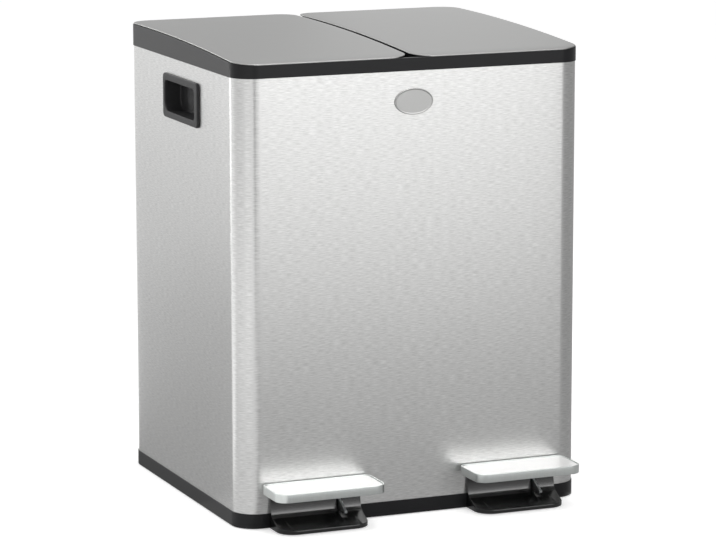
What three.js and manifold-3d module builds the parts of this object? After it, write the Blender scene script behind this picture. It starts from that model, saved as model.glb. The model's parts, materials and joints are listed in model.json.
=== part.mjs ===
// A double recycling bin: one brushed steel body, two lids, two pedals and two lift-out buckets.
// Millimetres. +X is to the right and +Y to the back, seen from the pedals; +Z is up.
// Heights are measured from the bottom edge of the base, widths and depths from the body's middle.

import * as THREE from 'three';
import { mergeVertices } from 'three/addons/utils/BufferGeometryUtils.js';
import Module from 'manifold-3d';

const wasm = await Module();
wasm.setup();

// ---- Driving dimensions ----

// Steel body and the two mouldings that hold it
const bodyWidth = 400;
const bodyDepth = 351;
const cornerRadius = 25.7;
const sheet = 0.8; // stainless sheet, with its hems
const trimLip = 0.8; // base and collar stand this far outside the sheet
const bandHeight = 15.8; // the base's visible band
const sheetHeight = 467.6;
const mouldingWall = 2.2; // plastic walls, upstands and plates
const ribThickness = 2;
const fitGap = 0.3; // between pieces that meet
const pinPlay = 0.05; // radial, where a pin sits or turns in a hole

// Base
const floorHeight = 3; // underside of the base's plate
const bucketSeat = 50; // top of the base's ribs
const upstandHeight = 54;
const ribPitch = 104;
const ribMargin = 20; // no rib stands nearer than this to a front or back wall
const footStand = 1;
const footRadius = 9;
const footInset = 48; // from the body's faces to a foot's centre
const footBossWall = 2; // round a foot, under the base's plate
const spigotRadius = 3; // the foot's plug through the plate

// Collar and the crown that the lids follow
const collarWall = 3;
const collarRise = 25.3; // from the collar's bottom edge to the highest point of the lids
const crownRadius = 4200;
const crownSetback = 65.5; // from the body's back to the crown's highest line
const ledgeThickness = 2.6;
const ledgeWidth = 18; // side ledges, which cover the handle pockets
const frontLedge = 4.3; // from the collar's wall to the openings
const skirtDepth = 14; // the collar reaches this far down inside the sheet
const bridgeWidth = 8; // between the two openings
const bridgeHeight = 6.6;
const bridgeLap = 4; // the bridge runs this far onto the ledge at both ends
const rearLedge = 34; // room for the push rods behind the buckets

// Lids
const lidSetback = 1.3; // from the collar's outer face to a lid's edge
const lidGapWidth = 5.5; // between the lids
const lidOuterRadius = 24;
const lidInnerRadius = 21;
const foldHeight = 1.2; // folded edge of the steel skin
const skinThickness = 0.6;
const lidSeatGap = 0.3;
const glueGap = 0.1; // from the skin to the lid moulding
const frameInset = 2.5; // from the skin's edge to the lid moulding
const frameDepth = 7.6; // from the collar's bottom edge up to the lid moulding's bottom
const frameSetback = 9.5; // from the hinge line to the lid moulding's back wall
const frameRibPitch = 58;

// Hinges
const hingeInset = 6; // from the body's back to the hinge line
const hingeHeight = 19.4; // above the collar's bottom edge
const barrelRadius = 4.2;
const hingePinRadius = 1.6;
const knuckleWidth = 12;
const knuckleInner = 36; // inner knuckle's centre, from the middle of the bin
const knuckleInset = 44; // outer knuckle's centre, from the body's side
const barrelStart = 12; // a lid's barrel, from the middle of the bin
const barrelInset = 14; // its other end, from the body's side
const knuckleRoom = 9; // cleared round a knuckle, in front of the hinge line
const hingePinLength = 32;
const hingeGap = 1; // under the barrels
const notchDepth = 15.5; // how far forward the collar's back is cut down
const lidOpening = THREE.MathUtils.degToRad(75);

// Linkage from pedal to lid
const crankArm = 26;
const crankPinRadius = 2;
const rodWidth = 12;
const rodThickness = 3;
const cheekThickness = 2.5;
const cheekGap = 0.8;
const cheekRound = 3; // round the crank pin's hole
const cheekReach = 22; // from the crank pin to the cheeks' front
const cheekSetback = 8; // from the hinge line to the cheeks' back
const crankRoom = { side: 1.5, front: 6, back: 9 }; // collar's window round the crank
const rodRoom = 10; // cleared in the lid moulding in front of the crank
const slotPlay = 0.55; // above and below the crank pin in the rod's head
const rodPinRadius = 2;
const rodPinPlay = 0.3;
const leverEnd = 13; // height of the lever's rear pin
const leverThickness = 3;
const leverHub = 8; // from the axle to the lever's edges
const leverEndRound = 4; // round the slot at its rear end
const leverGap = 0.5; // from the lever to its rod
const pivotSetback = 65.5; // from the body's front to the lever's axle
const pivotHeight = 20;
const axleRadius = 3;
const channelWidth = 12; // between the two ribs that hold an axle

// Pedals
const pedalInset = 84.7; // from the body's side to a pedal's middle
const pedalWidth = 124.5;
const pedalLength = 53.5;
const pedalGap = 2.5; // from the panel to the pedal's rear edge
const pedalTop = 49;
const rimHeight = 9.4;
const rimThickness = 1.6;
const rimFrontRadius = 13;
const rimRearRadius = 9;
const treadThickness = 1.2;
const treadRecess = 1;
const armOffset = 27; // the arm is to the right of the pedal's middle

// Shrouds round the arms
const shroudWidth = 103.6;
const shroudTop = 35;
const shroudFace = 3.1; // proud of the panel
const shroudCrest = 0.6; // rounding of the wall's top edge
const wallRadius = 69; // the wall leans forward in this hollow curve
const wallFoot = 16; // where the wall starts to sweep into the foot
const sweepRadius = 7;
const footReach = 39.7; // in front of the panel
const footCorner = 18.7;
const noseHeight = 4.6;
const noseRound = 1.5;
const cavityRise = 5; // the hollow under the shroud, started this far below it
const armSlotWidth = 6.6;
const armSlotReach = 24.4; // in front of the panel
const armSlotTop = 38.5;
const armSlotBottom = 2;
const armSlotInside = 40; // behind the front, the slot ends this far before the axle

// Buckets
const bucketGap = 1.5; // between a bucket's rim and the collar's edges
const bucketDrop = 13.4; // from the collar's bottom edge down to a bucket's rim
const bucketWall = 2;
const bucketTaper = 6; // each side, from rim to floor
const bucketRadius = 26;
const bucketRim = 4;
const rimTurn = 8;
const bailThickness = 5;
const bailLeg = 7;
const bailGrip = 16;
const bailStud = 2.2;
const earWidth = 12;
const earHeight = 9;

// Side handles
const bezelProud = 2.9;
const bezelEnd = 7.5; // bezel beyond the grip, at each end
const bezelEdge = 7.35; // and above and below it
const bezelRadius = 5.5;
const gripLength = 94;
const gripHeight = 34;
const gripRadius = 6;
const gripDepth = 19.5;
const gripUndercut = 3.4; // room for fingertips behind the bezel's top edge
const handleForward = 4.5; // bezel's middle, in front of the body's middle
const gripForward = 3;
const gripDrop = 0.2; // from the bezel's middle to the grip's
const handleTop = 17.9; // from the bezel's top to the collar
const bezelFlange = 2; // bezel plate over the sheet

// Badge and buffers
const badgeWidth = 44.5;
const badgeHeight = 28.4;
const badgeThickness = 1.4;
const badgeBelowCollar = 32.7;
const badgeRim = 1.4;
const badgeDish = 0.4;
const bufferRadius = 5;
const bufferGap = 0.1; // under the lid moulding
const bufferSetback = { front: 40, back: 20 }; // from the body's front and the openings' rear

// Facets
const cornerFacets = 6; // a quarter of the body's corners
const lidFacets = 5;
const roundFacets = 3; // small corners
const crownFacets = 9;
const pinFacets = 12;
const barrelFacets = 16;
const badgeFacets = 18;

// ---- Sizes that follow ----

const halfWidth = bodyWidth / 2;
const halfDepth = bodyDepth / 2;
const collarBottom = bandHeight + sheetHeight;
const crownY = halfDepth - crownSetback;
const hinge = { y: halfDepth - hingeInset, z: collarBottom + hingeHeight };
const frameBottom = collarBottom + frameDepth;
const crankAngle = lidOpening / 2;
const crank = {
  y: hinge.y - crankArm * Math.cos(crankAngle),
  z: hinge.z - crankArm * Math.sin(crankAngle),
};
const pivot = { y: pivotSetback - halfDepth, z: pivotHeight };
const treadTop = pedalTop - treadRecess;
const pedalRear = -halfDepth - pedalGap;
const pedalFront = pedalRear - pedalLength;
const shroudWallY = -halfDepth - shroudFace;
const armSlotEnd = -halfDepth - armSlotReach;
const shroudFront = -halfDepth - footReach;
const openingFront = -halfDepth - trimLip + collarWall + frontLedge;
const openingRear = halfDepth + trimLip - collarWall - rearLedge;
const openingSide = halfWidth - ledgeWidth;
const knuckleOuter = halfWidth - knuckleInset;
const barrelEnd = halfWidth - barrelInset;
const bucketTop = collarBottom - bucketDrop;
const bezelLength = gripLength + 2 * bezelEnd;
const bezelHeight = gripHeight + 2 * bezelEdge;
const bezelTop = collarBottom - handleTop;
const bezelMiddle = { y: -handleForward, z: bezelTop - bezelHeight / 2 };
const gripMiddle = { y: -gripForward, z: bezelMiddle.z - gripDrop };
const pedalCentre = halfWidth - pedalInset;
const sides = [
  { name: 'left', pedalX: -pedalCentre, mirrored: true },
  { name: 'right', pedalX: pedalCentre, mirrored: false },
];
for (const side of sides) {
  side.leverX = side.pedalX + armOffset;
  side.rodX = side.leverX + leverThickness / 2 + leverGap + rodThickness / 2;
}

// ---- Materials ----

const finish = (color, roughness, metalness) => ({ color, roughness, metalness });
const brushedSteel = finish(0xcfcfce, 0.34, 1);
const satinSteel = finish(0xc2c2c1, 0.4, 1);
const polishedSteel = finish(0xe6e7e6, 0.16, 1);
const zincSteel = finish(0xb4b6b5, 0.38, 1);
const satinBlack = finish(0x2e2e30, 0.5, 0);
const glossBlack = finish(0x161617, 0.16, 0);
const bucketBlack = finish(0x242527, 0.55, 0);
const rubber = finish(0x1b1b1b, 0.85, 0);

// ---- Geometry helpers ----

// A closed solid ready for booleans
function solidOf(geometry) {
  const bare = geometry.clone();
  bare.deleteAttribute('normal');
  bare.deleteAttribute('uv');
  const welded = mergeVertices(bare, 1e-4);
  return new wasm.Manifold(new wasm.Mesh({
    numProp: 3,
    vertProperties: new Float32Array(welded.attributes.position.array),
    triVerts: new Uint32Array(welded.index.array),
  }));
}

function geometryOf(solid) {
  const mesh = solid.getMesh();
  const geometry = new THREE.BufferGeometry();
  geometry.setAttribute('position', new THREE.BufferAttribute(mesh.vertProperties, 3));
  geometry.setIndex(new THREE.BufferAttribute(mesh.triVerts, 1));
  geometry.computeVertexNormals();
  return geometry;
}

function extrude(shape, depth, facets) {
  const options = { depth, bevelEnabled: false, curveSegments: facets };
  return new THREE.ExtrudeGeometry(shape, options);
}

// A plan outline raised from one height to another
function upright(shape, from, to, facets = roundFacets) {
  return solidOf(extrude(shape, to - from, facets).translate(0, 0, from));
}

// A side outline in (y, z), carried along X
function across(shape, from, to, facets = roundFacets) {
  const turn = new THREE.Matrix4().makeBasis(
    new THREE.Vector3(0, 1, 0),
    new THREE.Vector3(0, 0, 1),
    new THREE.Vector3(1, 0, 0),
  );
  return solidOf(extrude(shape, to - from, facets).applyMatrix4(turn).translate(from, 0, 0));
}

// A front outline in (x, z), carried backwards along Y
function backward(shape, from, to, facets) {
  const turn = new THREE.Matrix4().makeBasis(
    new THREE.Vector3(1, 0, 0),
    new THREE.Vector3(0, 0, 1),
    new THREE.Vector3(0, -1, 0),
  );
  return solidOf(extrude(shape, to - from, facets).applyMatrix4(turn).translate(0, to, 0));
}

function block(x0, x1, y0, y1, z0, z1) {
  const geometry = new THREE.BoxGeometry(x1 - x0, y1 - y0, z1 - z0);
  geometry.translate((x0 + x1) / 2, (y0 + y1) / 2, (z0 + z1) / 2);
  return solidOf(geometry);
}

// A round bar along X
function bar(radius, x0, x1, y, z, facets = pinFacets) {
  const geometry = new THREE.CylinderGeometry(radius, radius, x1 - x0, facets);
  geometry.rotateZ(Math.PI / 2);
  geometry.translate((x0 + x1) / 2, y, z);
  return solidOf(geometry);
}

// A round post along Z
function post(radius, x, y, z0, z1, facets = pinFacets) {
  const geometry = new THREE.CylinderGeometry(radius, radius, z1 - z0, facets);
  geometry.rotateX(Math.PI / 2);
  geometry.translate(x, y, (z0 + z1) / 2);
  return solidOf(geometry);
}

// The cut radius whose flats clear a pin's corners
const holeFor = (radius) => (radius + pinPlay) / Math.cos(Math.PI / pinFacets);

// A rectangle with its own radius at each corner, in the order low-low, high-low, high-high, low-high
function cornered(u0, u1, v0, v1, radii, Outline = THREE.Shape) {
  const [a, b, c, d] = radii;
  const outline = new Outline();
  outline.moveTo(u0 + a, v0);
  outline.lineTo(u1 - b, v0);
  outline.absarc(u1 - b, v0 + b, b, -Math.PI / 2, 0, false);
  outline.lineTo(u1, v1 - c);
  outline.absarc(u1 - c, v1 - c, c, 0, Math.PI / 2, false);
  outline.lineTo(u0 + d, v1);
  outline.absarc(u0 + d, v1 - d, d, Math.PI / 2, Math.PI, false);
  outline.lineTo(u0, v0 + a);
  outline.absarc(u0 + a, v0 + a, a, Math.PI, 1.5 * Math.PI, false);
  return outline;
}

const rounded = (u0, u1, v0, v1, radius) => cornered(u0, u1, v0, v1, [radius, radius, radius, radius]);

// The body's plan outline, grown or shrunk
function bodyOutline(grow) {
  const u = halfWidth + grow;
  const v = halfDepth + grow;
  return rounded(-u, u, -v, v, cornerRadius + grow);
}

const bodyPlan = (grow, from, to) => upright(bodyOutline(grow), from, to, cornerFacets);

// A ring between two offsets of the body's outline
function bodyRing(outer, inner, from, to) {
  return bodyPlan(outer, from, to).subtract(bodyPlan(inner, from - 1, to + 1));
}

const crownAt = (y) => collarBottom + collarRise - crownRadius
  + Math.sqrt(crownRadius ** 2 - (y - crownY) ** 2);

// Everything under the crowned surface, moved down by a depth
function underCrown(depth) {
  const reach = halfDepth + 10;
  const outline = new THREE.Shape();
  outline.moveTo(-reach, 0);
  outline.lineTo(reach, 0);
  for (let i = 0; i <= crownFacets; i += 1) {
    const y = reach - (2 * reach * i) / crownFacets;
    outline.lineTo(y, crownAt(y) - depth);
  }
  return across(outline, -bodyWidth, bodyWidth);
}

const mirrorX = (solid) => solid.mirror([1, 0, 0]);

// ---- Body ----

function makeShell() {
  let shell = bodyRing(0, -sheet, bandHeight, collarBottom);
  const window = handleOutline(fitGap);
  shell = shell.subtract(across(window, -halfWidth - 1, halfWidth + 1));
  for (const side of sides) {
    shell = shell.subtract(armSlot(side, -halfDepth - 1, -halfDepth + 2 * sheet));
  }
  return shell;
}

// The upright slot that an arm moves in
function armSlot(side, front, back) {
  const half = armSlotWidth / 2;
  return block(side.leverX - half, side.leverX + half, front, back, armSlotBottom, armSlotTop);
}

function makeBase() {
  const inner = -sheet - fitGap;
  let base = bodyRing(trimLip, inner - mouldingWall, 0, bandHeight);
  base = base.add(bodyRing(inner, inner - mouldingWall, 0, upstandHeight));
  base = base.add(bodyPlan(inner, floorHeight, floorHeight + mouldingWall));
  base = base.add(baseRibs(inner));
  for (const side of sides) {
    const half = channelWidth / 2;
    const reach = halfDepth - sheet - mouldingWall - fitGap;
    const top = upstandHeight + 1;
    base = base.subtract(block(side.leverX - half, side.leverX + half, -reach, reach,
      floorHeight + mouldingWall, top));
    base = base.subtract(bar(holeFor(axleRadius), side.leverX - channelWidth, side.leverX + channelWidth,
      pivot.y, pivot.z));
    base = base.subtract(armSlot(side, -halfDepth - 2 * trimLip, pivot.y - armSlotInside));
  }
  for (const [x, y] of footPlaces()) {
    base = base.add(post(footRadius + footBossWall, x, y, 0, floorHeight + 1));
    base = base.subtract(post(spigotRadius + fitGap, x, y, -1, floorHeight + mouldingWall + 1));
  }
  return base;
}

// Ribs under the buckets, and the pairs that hold each lever's axle
function baseRibs(inner) {
  const u = halfWidth + inner - 1;
  const v = halfDepth + inner - 1;
  const z0 = floorHeight + 1;
  let ribs = block(-ribThickness / 2, ribThickness / 2, -v, v, z0, bucketSeat);
  for (const side of sides) {
    for (const hand of [-1, 1]) {
      const x = side.leverX + (hand * (channelWidth + ribThickness)) / 2;
      ribs = ribs.add(block(x - ribThickness / 2, x + ribThickness / 2, -v, v, z0, bucketSeat));
    }
  }
  const count = Math.floor((v - ribMargin) / ribPitch);
  for (let i = -count; i <= count; i += 1) {
    const y = i * ribPitch;
    ribs = ribs.add(block(-u, u, y - ribThickness / 2, y + ribThickness / 2, z0, bucketSeat));
  }
  return ribs.intersect(bodyPlan(inner - 1, 0, bucketSeat));
}

function footPlaces() {
  const x = halfWidth - footInset;
  const y = halfDepth - footInset;
  return [[-x, -y], [x, -y], [x, y], [-x, y]];
}

function makeFoot([x, y]) {
  return post(footRadius, x, y, -footStand, 0)
    .add(post(spigotRadius, x, y, -footStand / 2, floorHeight));
}

// ---- Collar ----

function makeCollar() {
  const rim = foldHeight + lidSeatGap;
  const inner = trimLip - collarWall;
  const crown = underCrown(rim);
  let collar = bodyRing(trimLip, inner, collarBottom, collarBottom + 2 * collarRise).intersect(crown);
  collar = collar.add(bodyRing(-sheet - fitGap, -sheet - fitGap - mouldingWall,
    collarBottom - skirtDepth, collarBottom + ledgeThickness));
  collar = collar.add(makeLedge());
  collar = collar.subtract(rearNotch());
  for (const hand of [-1, 1]) {
    for (const x of [knuckleInner, knuckleOuter]) {
      collar = collar.add(makeKnuckle(hand * x));
    }
  }
  for (const side of sides) {
    collar = collar.subtract(rodWindow(side));
  }
  return collar;
}

// The inner ledge with an opening for each bucket, and the bridge between them
function makeLedge() {
  const top = collarBottom + ledgeThickness;
  let ledge = bodyPlan(trimLip - 1, collarBottom, top);
  ledge = ledge.add(block(-bridgeWidth / 2, bridgeWidth / 2, openingFront - bridgeLap,
    openingRear + bridgeLap, collarBottom, collarBottom + bridgeHeight));
  const opening = rounded(bridgeWidth / 2, openingSide, openingFront, openingRear, bucketRadius);
  const cut = upright(opening, collarBottom - 1, top + bridgeHeight, lidFacets);
  return ledge.subtract(cut).subtract(mirrorX(cut));
}

// The collar's back is lower, so that the lids can turn over it
function rearNotch() {
  const from = halfDepth + trimLip - notchDepth;
  const floor = hinge.z - barrelRadius - hingeGap;
  return block(-bodyWidth, bodyWidth, from, bodyDepth, floor, floor + bodyWidth);
}

function makeKnuckle(x) {
  const x0 = x - knuckleWidth / 2;
  const x1 = x + knuckleWidth / 2;
  const back = halfDepth + trimLip - 1;
  const shoulder = hinge.z - barrelRadius - hingeGap;
  const web = block(x0, x1, hinge.y - barrelRadius, back, collarBottom + 1, shoulder);
  const neck = block(x0, x1, hinge.y - barrelRadius, hinge.y + barrelRadius, shoulder - 1, hinge.z);
  return web.add(neck)
    .add(bar(barrelRadius, x0, x1, hinge.y, hinge.z, barrelFacets))
    .subtract(bar(holeFor(hingePinRadius), x0 - 1, x1 + 1, hinge.y, hinge.z));
}

function rodWindow(side) {
  const half = rodThickness / 2 + cheekGap + cheekThickness + crankRoom.side;
  const front = hinge.y - crankArm - crankRoom.front;
  return block(side.rodX - half, side.rodX + half, front, hinge.y - crankRoom.back,
    collarBottom - skirtDepth, collarBottom + ledgeThickness + 1);
}

function makeBuffer(x, y) {
  return post(bufferRadius, x, y, collarBottom + ledgeThickness, frameBottom - bufferGap);
}

// ---- Lids ----

// A lid's plan outline on the right half, shrunk by an inset
function lidOutline(inset) {
  const outer = halfWidth + trimLip - lidSetback - inset;
  const end = halfDepth + trimLip - lidSetback - inset;
  const inner = lidGapWidth / 2 + inset;
  const small = lidInnerRadius - inset;
  const large = lidOuterRadius - inset;
  return cornered(inner, outer, -end, end, [small, large, large, small]);
}

const lidPlan = (inset, from = collarBottom) => upright(lidOutline(inset), from,
  collarBottom + 2 * collarRise, lidFacets);

function makeLidPanel() {
  const pocket = lidPlan(skinThickness).intersect(underCrown(skinThickness));
  return lidPlan(0)
    .intersect(underCrown(0))
    .subtract(underCrown(foldHeight))
    .subtract(pocket);
}

// The ribbed moulding under the steel skin, with hinge barrels and the crank's cheeks
function makeLidFrame(rodX) {
  const face = skinThickness + glueGap;
  const panBack = hinge.y - frameSetback;
  let frame = lidPlan(frameInset, frameBottom).intersect(underCrown(face));
  const hollow = lidPlan(frameInset + mouldingWall, frameBottom - 1)
    .intersect(underCrown(face + mouldingWall))
    .subtract(frameRibs(panBack));
  frame = frame.subtract(hollow);
  frame = frame.subtract(block(0, bodyWidth, panBack, bodyDepth, frameBottom - 1, hinge.z + 1));
  const rodSpace = rodThickness / 2 + cheekGap;
  frame = frame.subtract(block(rodX - rodSpace, rodX + rodSpace, hinge.y - crankArm - rodRoom,
    panBack + 1, frameBottom - 1, hinge.z + 1));
  frame = frame.add(crankCheeks(rodX));
  return frame.add(hingeBarrels()).subtract(hingeCuts());
}

function frameRibs(panBack) {
  const outer = halfWidth;
  let ribs = block(0, outer, panBack - mouldingWall, panBack, 0, bodyWidth * 2);
  for (let y = panBack - frameRibPitch; y > ribMargin - halfDepth; y -= frameRibPitch) {
    ribs = ribs.add(block(0, outer, y - ribThickness / 2, y + ribThickness / 2, 0, bodyWidth * 2));
  }
  const middle = outer / 2;
  return ribs.add(block(middle - ribThickness / 2, middle + ribThickness / 2, -halfDepth,
    panBack, 0, bodyWidth * 2));
}

// Two plates that carry the crank pin on both sides of the push rod
function crankCheeks(rodX) {
  const round = crankPinRadius + cheekRound;
  const front = crank.y - cheekReach;
  const back = hinge.y - cheekSetback;
  const top = hinge.z + cheekRound;
  const outline = new THREE.Shape();
  outline.moveTo(back, top);
  outline.lineTo(front, top);
  outline.lineTo(front, frameBottom + 2);
  outline.lineTo(crank.y - round, crank.z);
  outline.absarc(crank.y, crank.z, round, Math.PI, 2 * Math.PI, false);
  outline.lineTo(back, frameBottom + 5);
  outline.closePath();
  const inside = rodThickness / 2 + cheekGap;
  const outside = inside + cheekThickness;
  const plate = (x0, x1) => across(outline, x0, x1);
  return plate(rodX - outside, rodX - inside)
    .add(plate(rodX + inside, rodX + outside))
    .intersect(underCrown(skinThickness + 2 * glueGap))
    .subtract(bar(holeFor(crankPinRadius), rodX - outside - 1, rodX + outside + 1, crank.y, crank.z));
}

function hingeBarrels() {
  return bar(barrelRadius, barrelStart, barrelEnd, hinge.y, hinge.z, barrelFacets);
}

// Room for the collar's knuckles, and the bores for the pins
function hingeCuts() {
  const half = knuckleWidth / 2 + fitGap;
  const room = (x) => block(x - half, x + half, hinge.y - knuckleRoom, bodyDepth, 0, 2 * bodyWidth);
  const bore = (x0, x1) => bar(holeFor(hingePinRadius), x0, x1, hinge.y, hinge.z);
  const overlap = hingePinLength / 2 + fitGap;
  return room(knuckleInner)
    .add(room(knuckleOuter))
    .add(bore(barrelStart - 1, knuckleInner + overlap))
    .add(bore(knuckleOuter - overlap, barrelEnd + 1));
}

function makeHingePin(x) {
  return bar(hingePinRadius, x - hingePinLength / 2, x + hingePinLength / 2, hinge.y, hinge.z);
}

// ---- Linkage ----

function makeCrankPin(rodX) {
  const half = rodThickness / 2 + cheekGap + cheekThickness;
  return bar(crankPinRadius, rodX - half, rodX + half, crank.y, crank.z);
}

// An upright flat bar with a pin hole at its foot and a level slot in its head for the crank pin
function makePushRod(rodX) {
  const swing = crankArm - crankArm * Math.cos(crankAngle);
  const slotHalf = crankPinRadius + slotPlay;
  const slotFront = crank.y - swing - slotHalf;
  const slotBack = crank.y + slotHalf;
  const headWall = 3;
  const headFoot = crank.z - slotHalf - headWall;
  const foot = leverEnd - rodWidth / 2;
  const strip = rounded(crank.y - rodWidth / 2, crank.y + rodWidth / 2, foot, crank.z,
    rodWidth / 2 - 0.1);
  const head = rounded(slotFront - headWall, Math.max(slotBack + headWall, crank.y + rodWidth / 2),
    headFoot, crank.z + slotHalf + headWall, headWall);
  const slot = rounded(slotFront, slotBack, crank.z - slotHalf, crank.z + slotHalf, slotHalf - 0.05);
  const x0 = rodX - rodThickness / 2;
  const x1 = rodX + rodThickness / 2;
  return across(strip, x0, x1)
    .add(across(head, x0, x1))
    .subtract(across(slot, x0 - 1, x1 + 1))
    .subtract(bar(holeFor(rodPinRadius), x0 - 1, x1 + 1, crank.y, leverEnd));
}

function makeRodPin(side) {
  const x1 = side.rodX + rodThickness / 2 + 0.5;
  return bar(rodPinRadius, side.leverX - leverThickness / 2 - 1, x1, crank.y, leverEnd);
}

// A flat bar on edge: the rear slot lifts the rod, the axle's hole is under the bucket, and the
// front ends in a flange under the tread, with a toe that dips in front of the shroud's wall
function makeLever(side) {
  const endRound = rodPinRadius + leverEndRound;
  const underTread = treadTop - treadThickness;
  const neck = { y: 8 - halfDepth, top: 33, bottom: 12.6 }; // just inside the body's front
  const arm = { y: pedalRear - 3, top: armSlotTop - 1, throat: 32, bottom: 25.6 };
  const flange = { front: pedalFront + 9.5, rear: pedalRear - 4.5, thickness: 3.5 };
  const gusset = { y: pedalRear - 14, z: 35.5 };
  const toe = { y: armSlotEnd + 0.6, z: 16, tip: 13, round: 2.5 };
  const outline = new THREE.Shape();
  outline.moveTo(crank.y, leverEnd - endRound);
  outline.absarc(crank.y, leverEnd, endRound, -Math.PI / 2, Math.PI / 2, false);
  outline.lineTo(pivot.y, pivot.z + leverHub);
  outline.lineTo(neck.y, neck.top);
  outline.lineTo(arm.y, arm.top);
  outline.lineTo(flange.rear, underTread);
  outline.lineTo(flange.front, underTread);
  outline.lineTo(flange.front, underTread - flange.thickness);
  outline.lineTo(gusset.y, gusset.z);
  outline.quadraticCurveTo(arm.y, arm.throat, arm.y, arm.bottom);
  outline.lineTo(toe.y, toe.z);
  outline.quadraticCurveTo(toe.y - 0.6, toe.tip, toe.y + toe.round, neck.bottom);
  outline.lineTo(neck.y, neck.bottom);
  outline.lineTo(pivot.y, pivot.z - leverHub);
  outline.closePath();
  const half = leverThickness / 2;
  const slotHalf = rodPinRadius + rodPinPlay;
  const slot = rounded(crank.y - slotHalf - 1, crank.y + slotHalf + 1, leverEnd - slotHalf,
    leverEnd + slotHalf, slotHalf - 0.05);
  return across(outline, side.leverX - half, side.leverX + half)
    .subtract(across(slot, side.leverX - half - 1, side.leverX + half + 1))
    .subtract(bar(holeFor(axleRadius), side.leverX - half - 1, side.leverX + half + 1,
      pivot.y, pivot.z));
}

function makeAxle(side) {
  const half = channelWidth / 2 + ribThickness;
  return bar(axleRadius, side.leverX - half, side.leverX + half, pivot.y, pivot.z);
}

// ---- Pedals ----

function pedalOutline(side, inset) {
  const front = rimFrontRadius - inset;
  const rear = rimRearRadius - inset;
  const half = pedalWidth / 2 - inset;
  return cornered(side.pedalX - half, side.pedalX + half, pedalFront + inset, pedalRear - inset,
    [front, front, rear, rear]);
}

function makePedalRim(side) {
  const bottom = pedalTop - rimHeight;
  return upright(pedalOutline(side, 0), bottom, pedalTop)
    .subtract(upright(pedalOutline(side, rimThickness), bottom - 1, pedalTop + 1));
}

function makeTread(side) {
  return upright(pedalOutline(side, rimThickness + fitGap / 2), treadTop - treadThickness, treadTop);
}

// ---- Shrouds ----

// The wall curves forward into the foot that keeps the bin from tipping. An inset gives the inside.
function shroudProfile(inset) {
  const top = shroudTop - inset;
  const nose = { y: shroudFront + inset, z: noseHeight - inset };
  const lean = Math.asin((shroudTop - wallFoot) / wallRadius);
  const wall = { y: shroudWallY - wallRadius, z: shroudTop, radius: wallRadius + inset };
  const sweep = {
    y: wall.y + (wallRadius - sweepRadius) * Math.cos(lean),
    z: wall.z - (wallRadius - sweepRadius) * Math.sin(lean),
    radius: sweepRadius + inset,
  };
  const slope = Math.atan2(sweep.z - sweepRadius - noseHeight, sweep.y - shroudFront);
  const start = Math.asin((inset + shroudCrest) / wall.radius);
  const face = wall.y + wall.radius * Math.cos(start);
  const outline = new THREE.Shape();
  outline.moveTo(-halfDepth, -inset);
  outline.lineTo(-halfDepth, top);
  outline.lineTo(face + shroudCrest, top);
  outline.quadraticCurveTo(face, top, face, top - shroudCrest);
  outline.absarc(wall.y, wall.z, wall.radius, -start, -lean, true);
  outline.absarc(sweep.y, sweep.z, sweep.radius, -lean, slope - Math.PI / 2, true);
  outline.lineTo(nose.y + noseRound, nose.z);
  outline.quadraticCurveTo(nose.y, nose.z, nose.y, nose.z - noseRound);
  outline.lineTo(nose.y, -inset);
  outline.closePath();
  return outline;
}

// The profile across the shroud's width, cut to its rounded plan
function shroudForm(side, inset, from, to) {
  const half = shroudWidth / 2 - inset;
  const corner = footCorner - inset;
  const plan = cornered(side.pedalX - half, side.pedalX + half, shroudFront + inset, -halfDepth,
    [corner, corner, 0.5, 0.5]);
  return across(shroudProfile(inset), side.pedalX - half, side.pedalX + half)
    .intersect(upright(plan, from, to, lidFacets));
}

function makeShroud(side) {
  const reach = shroudWidth / 2 + 1;
  const bandFace = -halfDepth - trimLip;
  const cavity = shroudForm(side, mouldingWall, -cavityRise, wallFoot).subtract(slotCheeks(side));
  return shroudForm(side, 0, -1, shroudTop + 1)
    .subtract(cavity)
    .subtract(block(side.pedalX - reach, side.pedalX + reach, bandFace, 0, -1, bandHeight))
    .subtract(slotOpening(side));
}

// Walls that close the shroud's inside off from the arm's slot
function slotCheeks(side) {
  const half = armSlotWidth / 2 + mouldingWall;
  return block(side.leverX - half, side.leverX + half, armSlotEnd - mouldingWall, -halfDepth, -9, 60);
}

function slotOpening(side) {
  const half = armSlotWidth / 2;
  const radius = half - 0.1;
  const plan = cornered(side.leverX - half, side.leverX + half, armSlotEnd, 0,
    [radius, radius, 0.1, 0.1]);
  return upright(plan, -1, armSlotTop);
}

// ---- Buckets ----

function bucketPlan(inset) {
  const x0 = bridgeWidth / 2 + bucketGap + inset;
  const x1 = openingSide - bucketGap - inset;
  const y0 = openingFront + bucketGap + inset;
  const y1 = openingRear - bucketGap - inset;
  return { x0, x1, y0, y1, radius: bucketRadius - bucketGap - inset };
}

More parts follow.
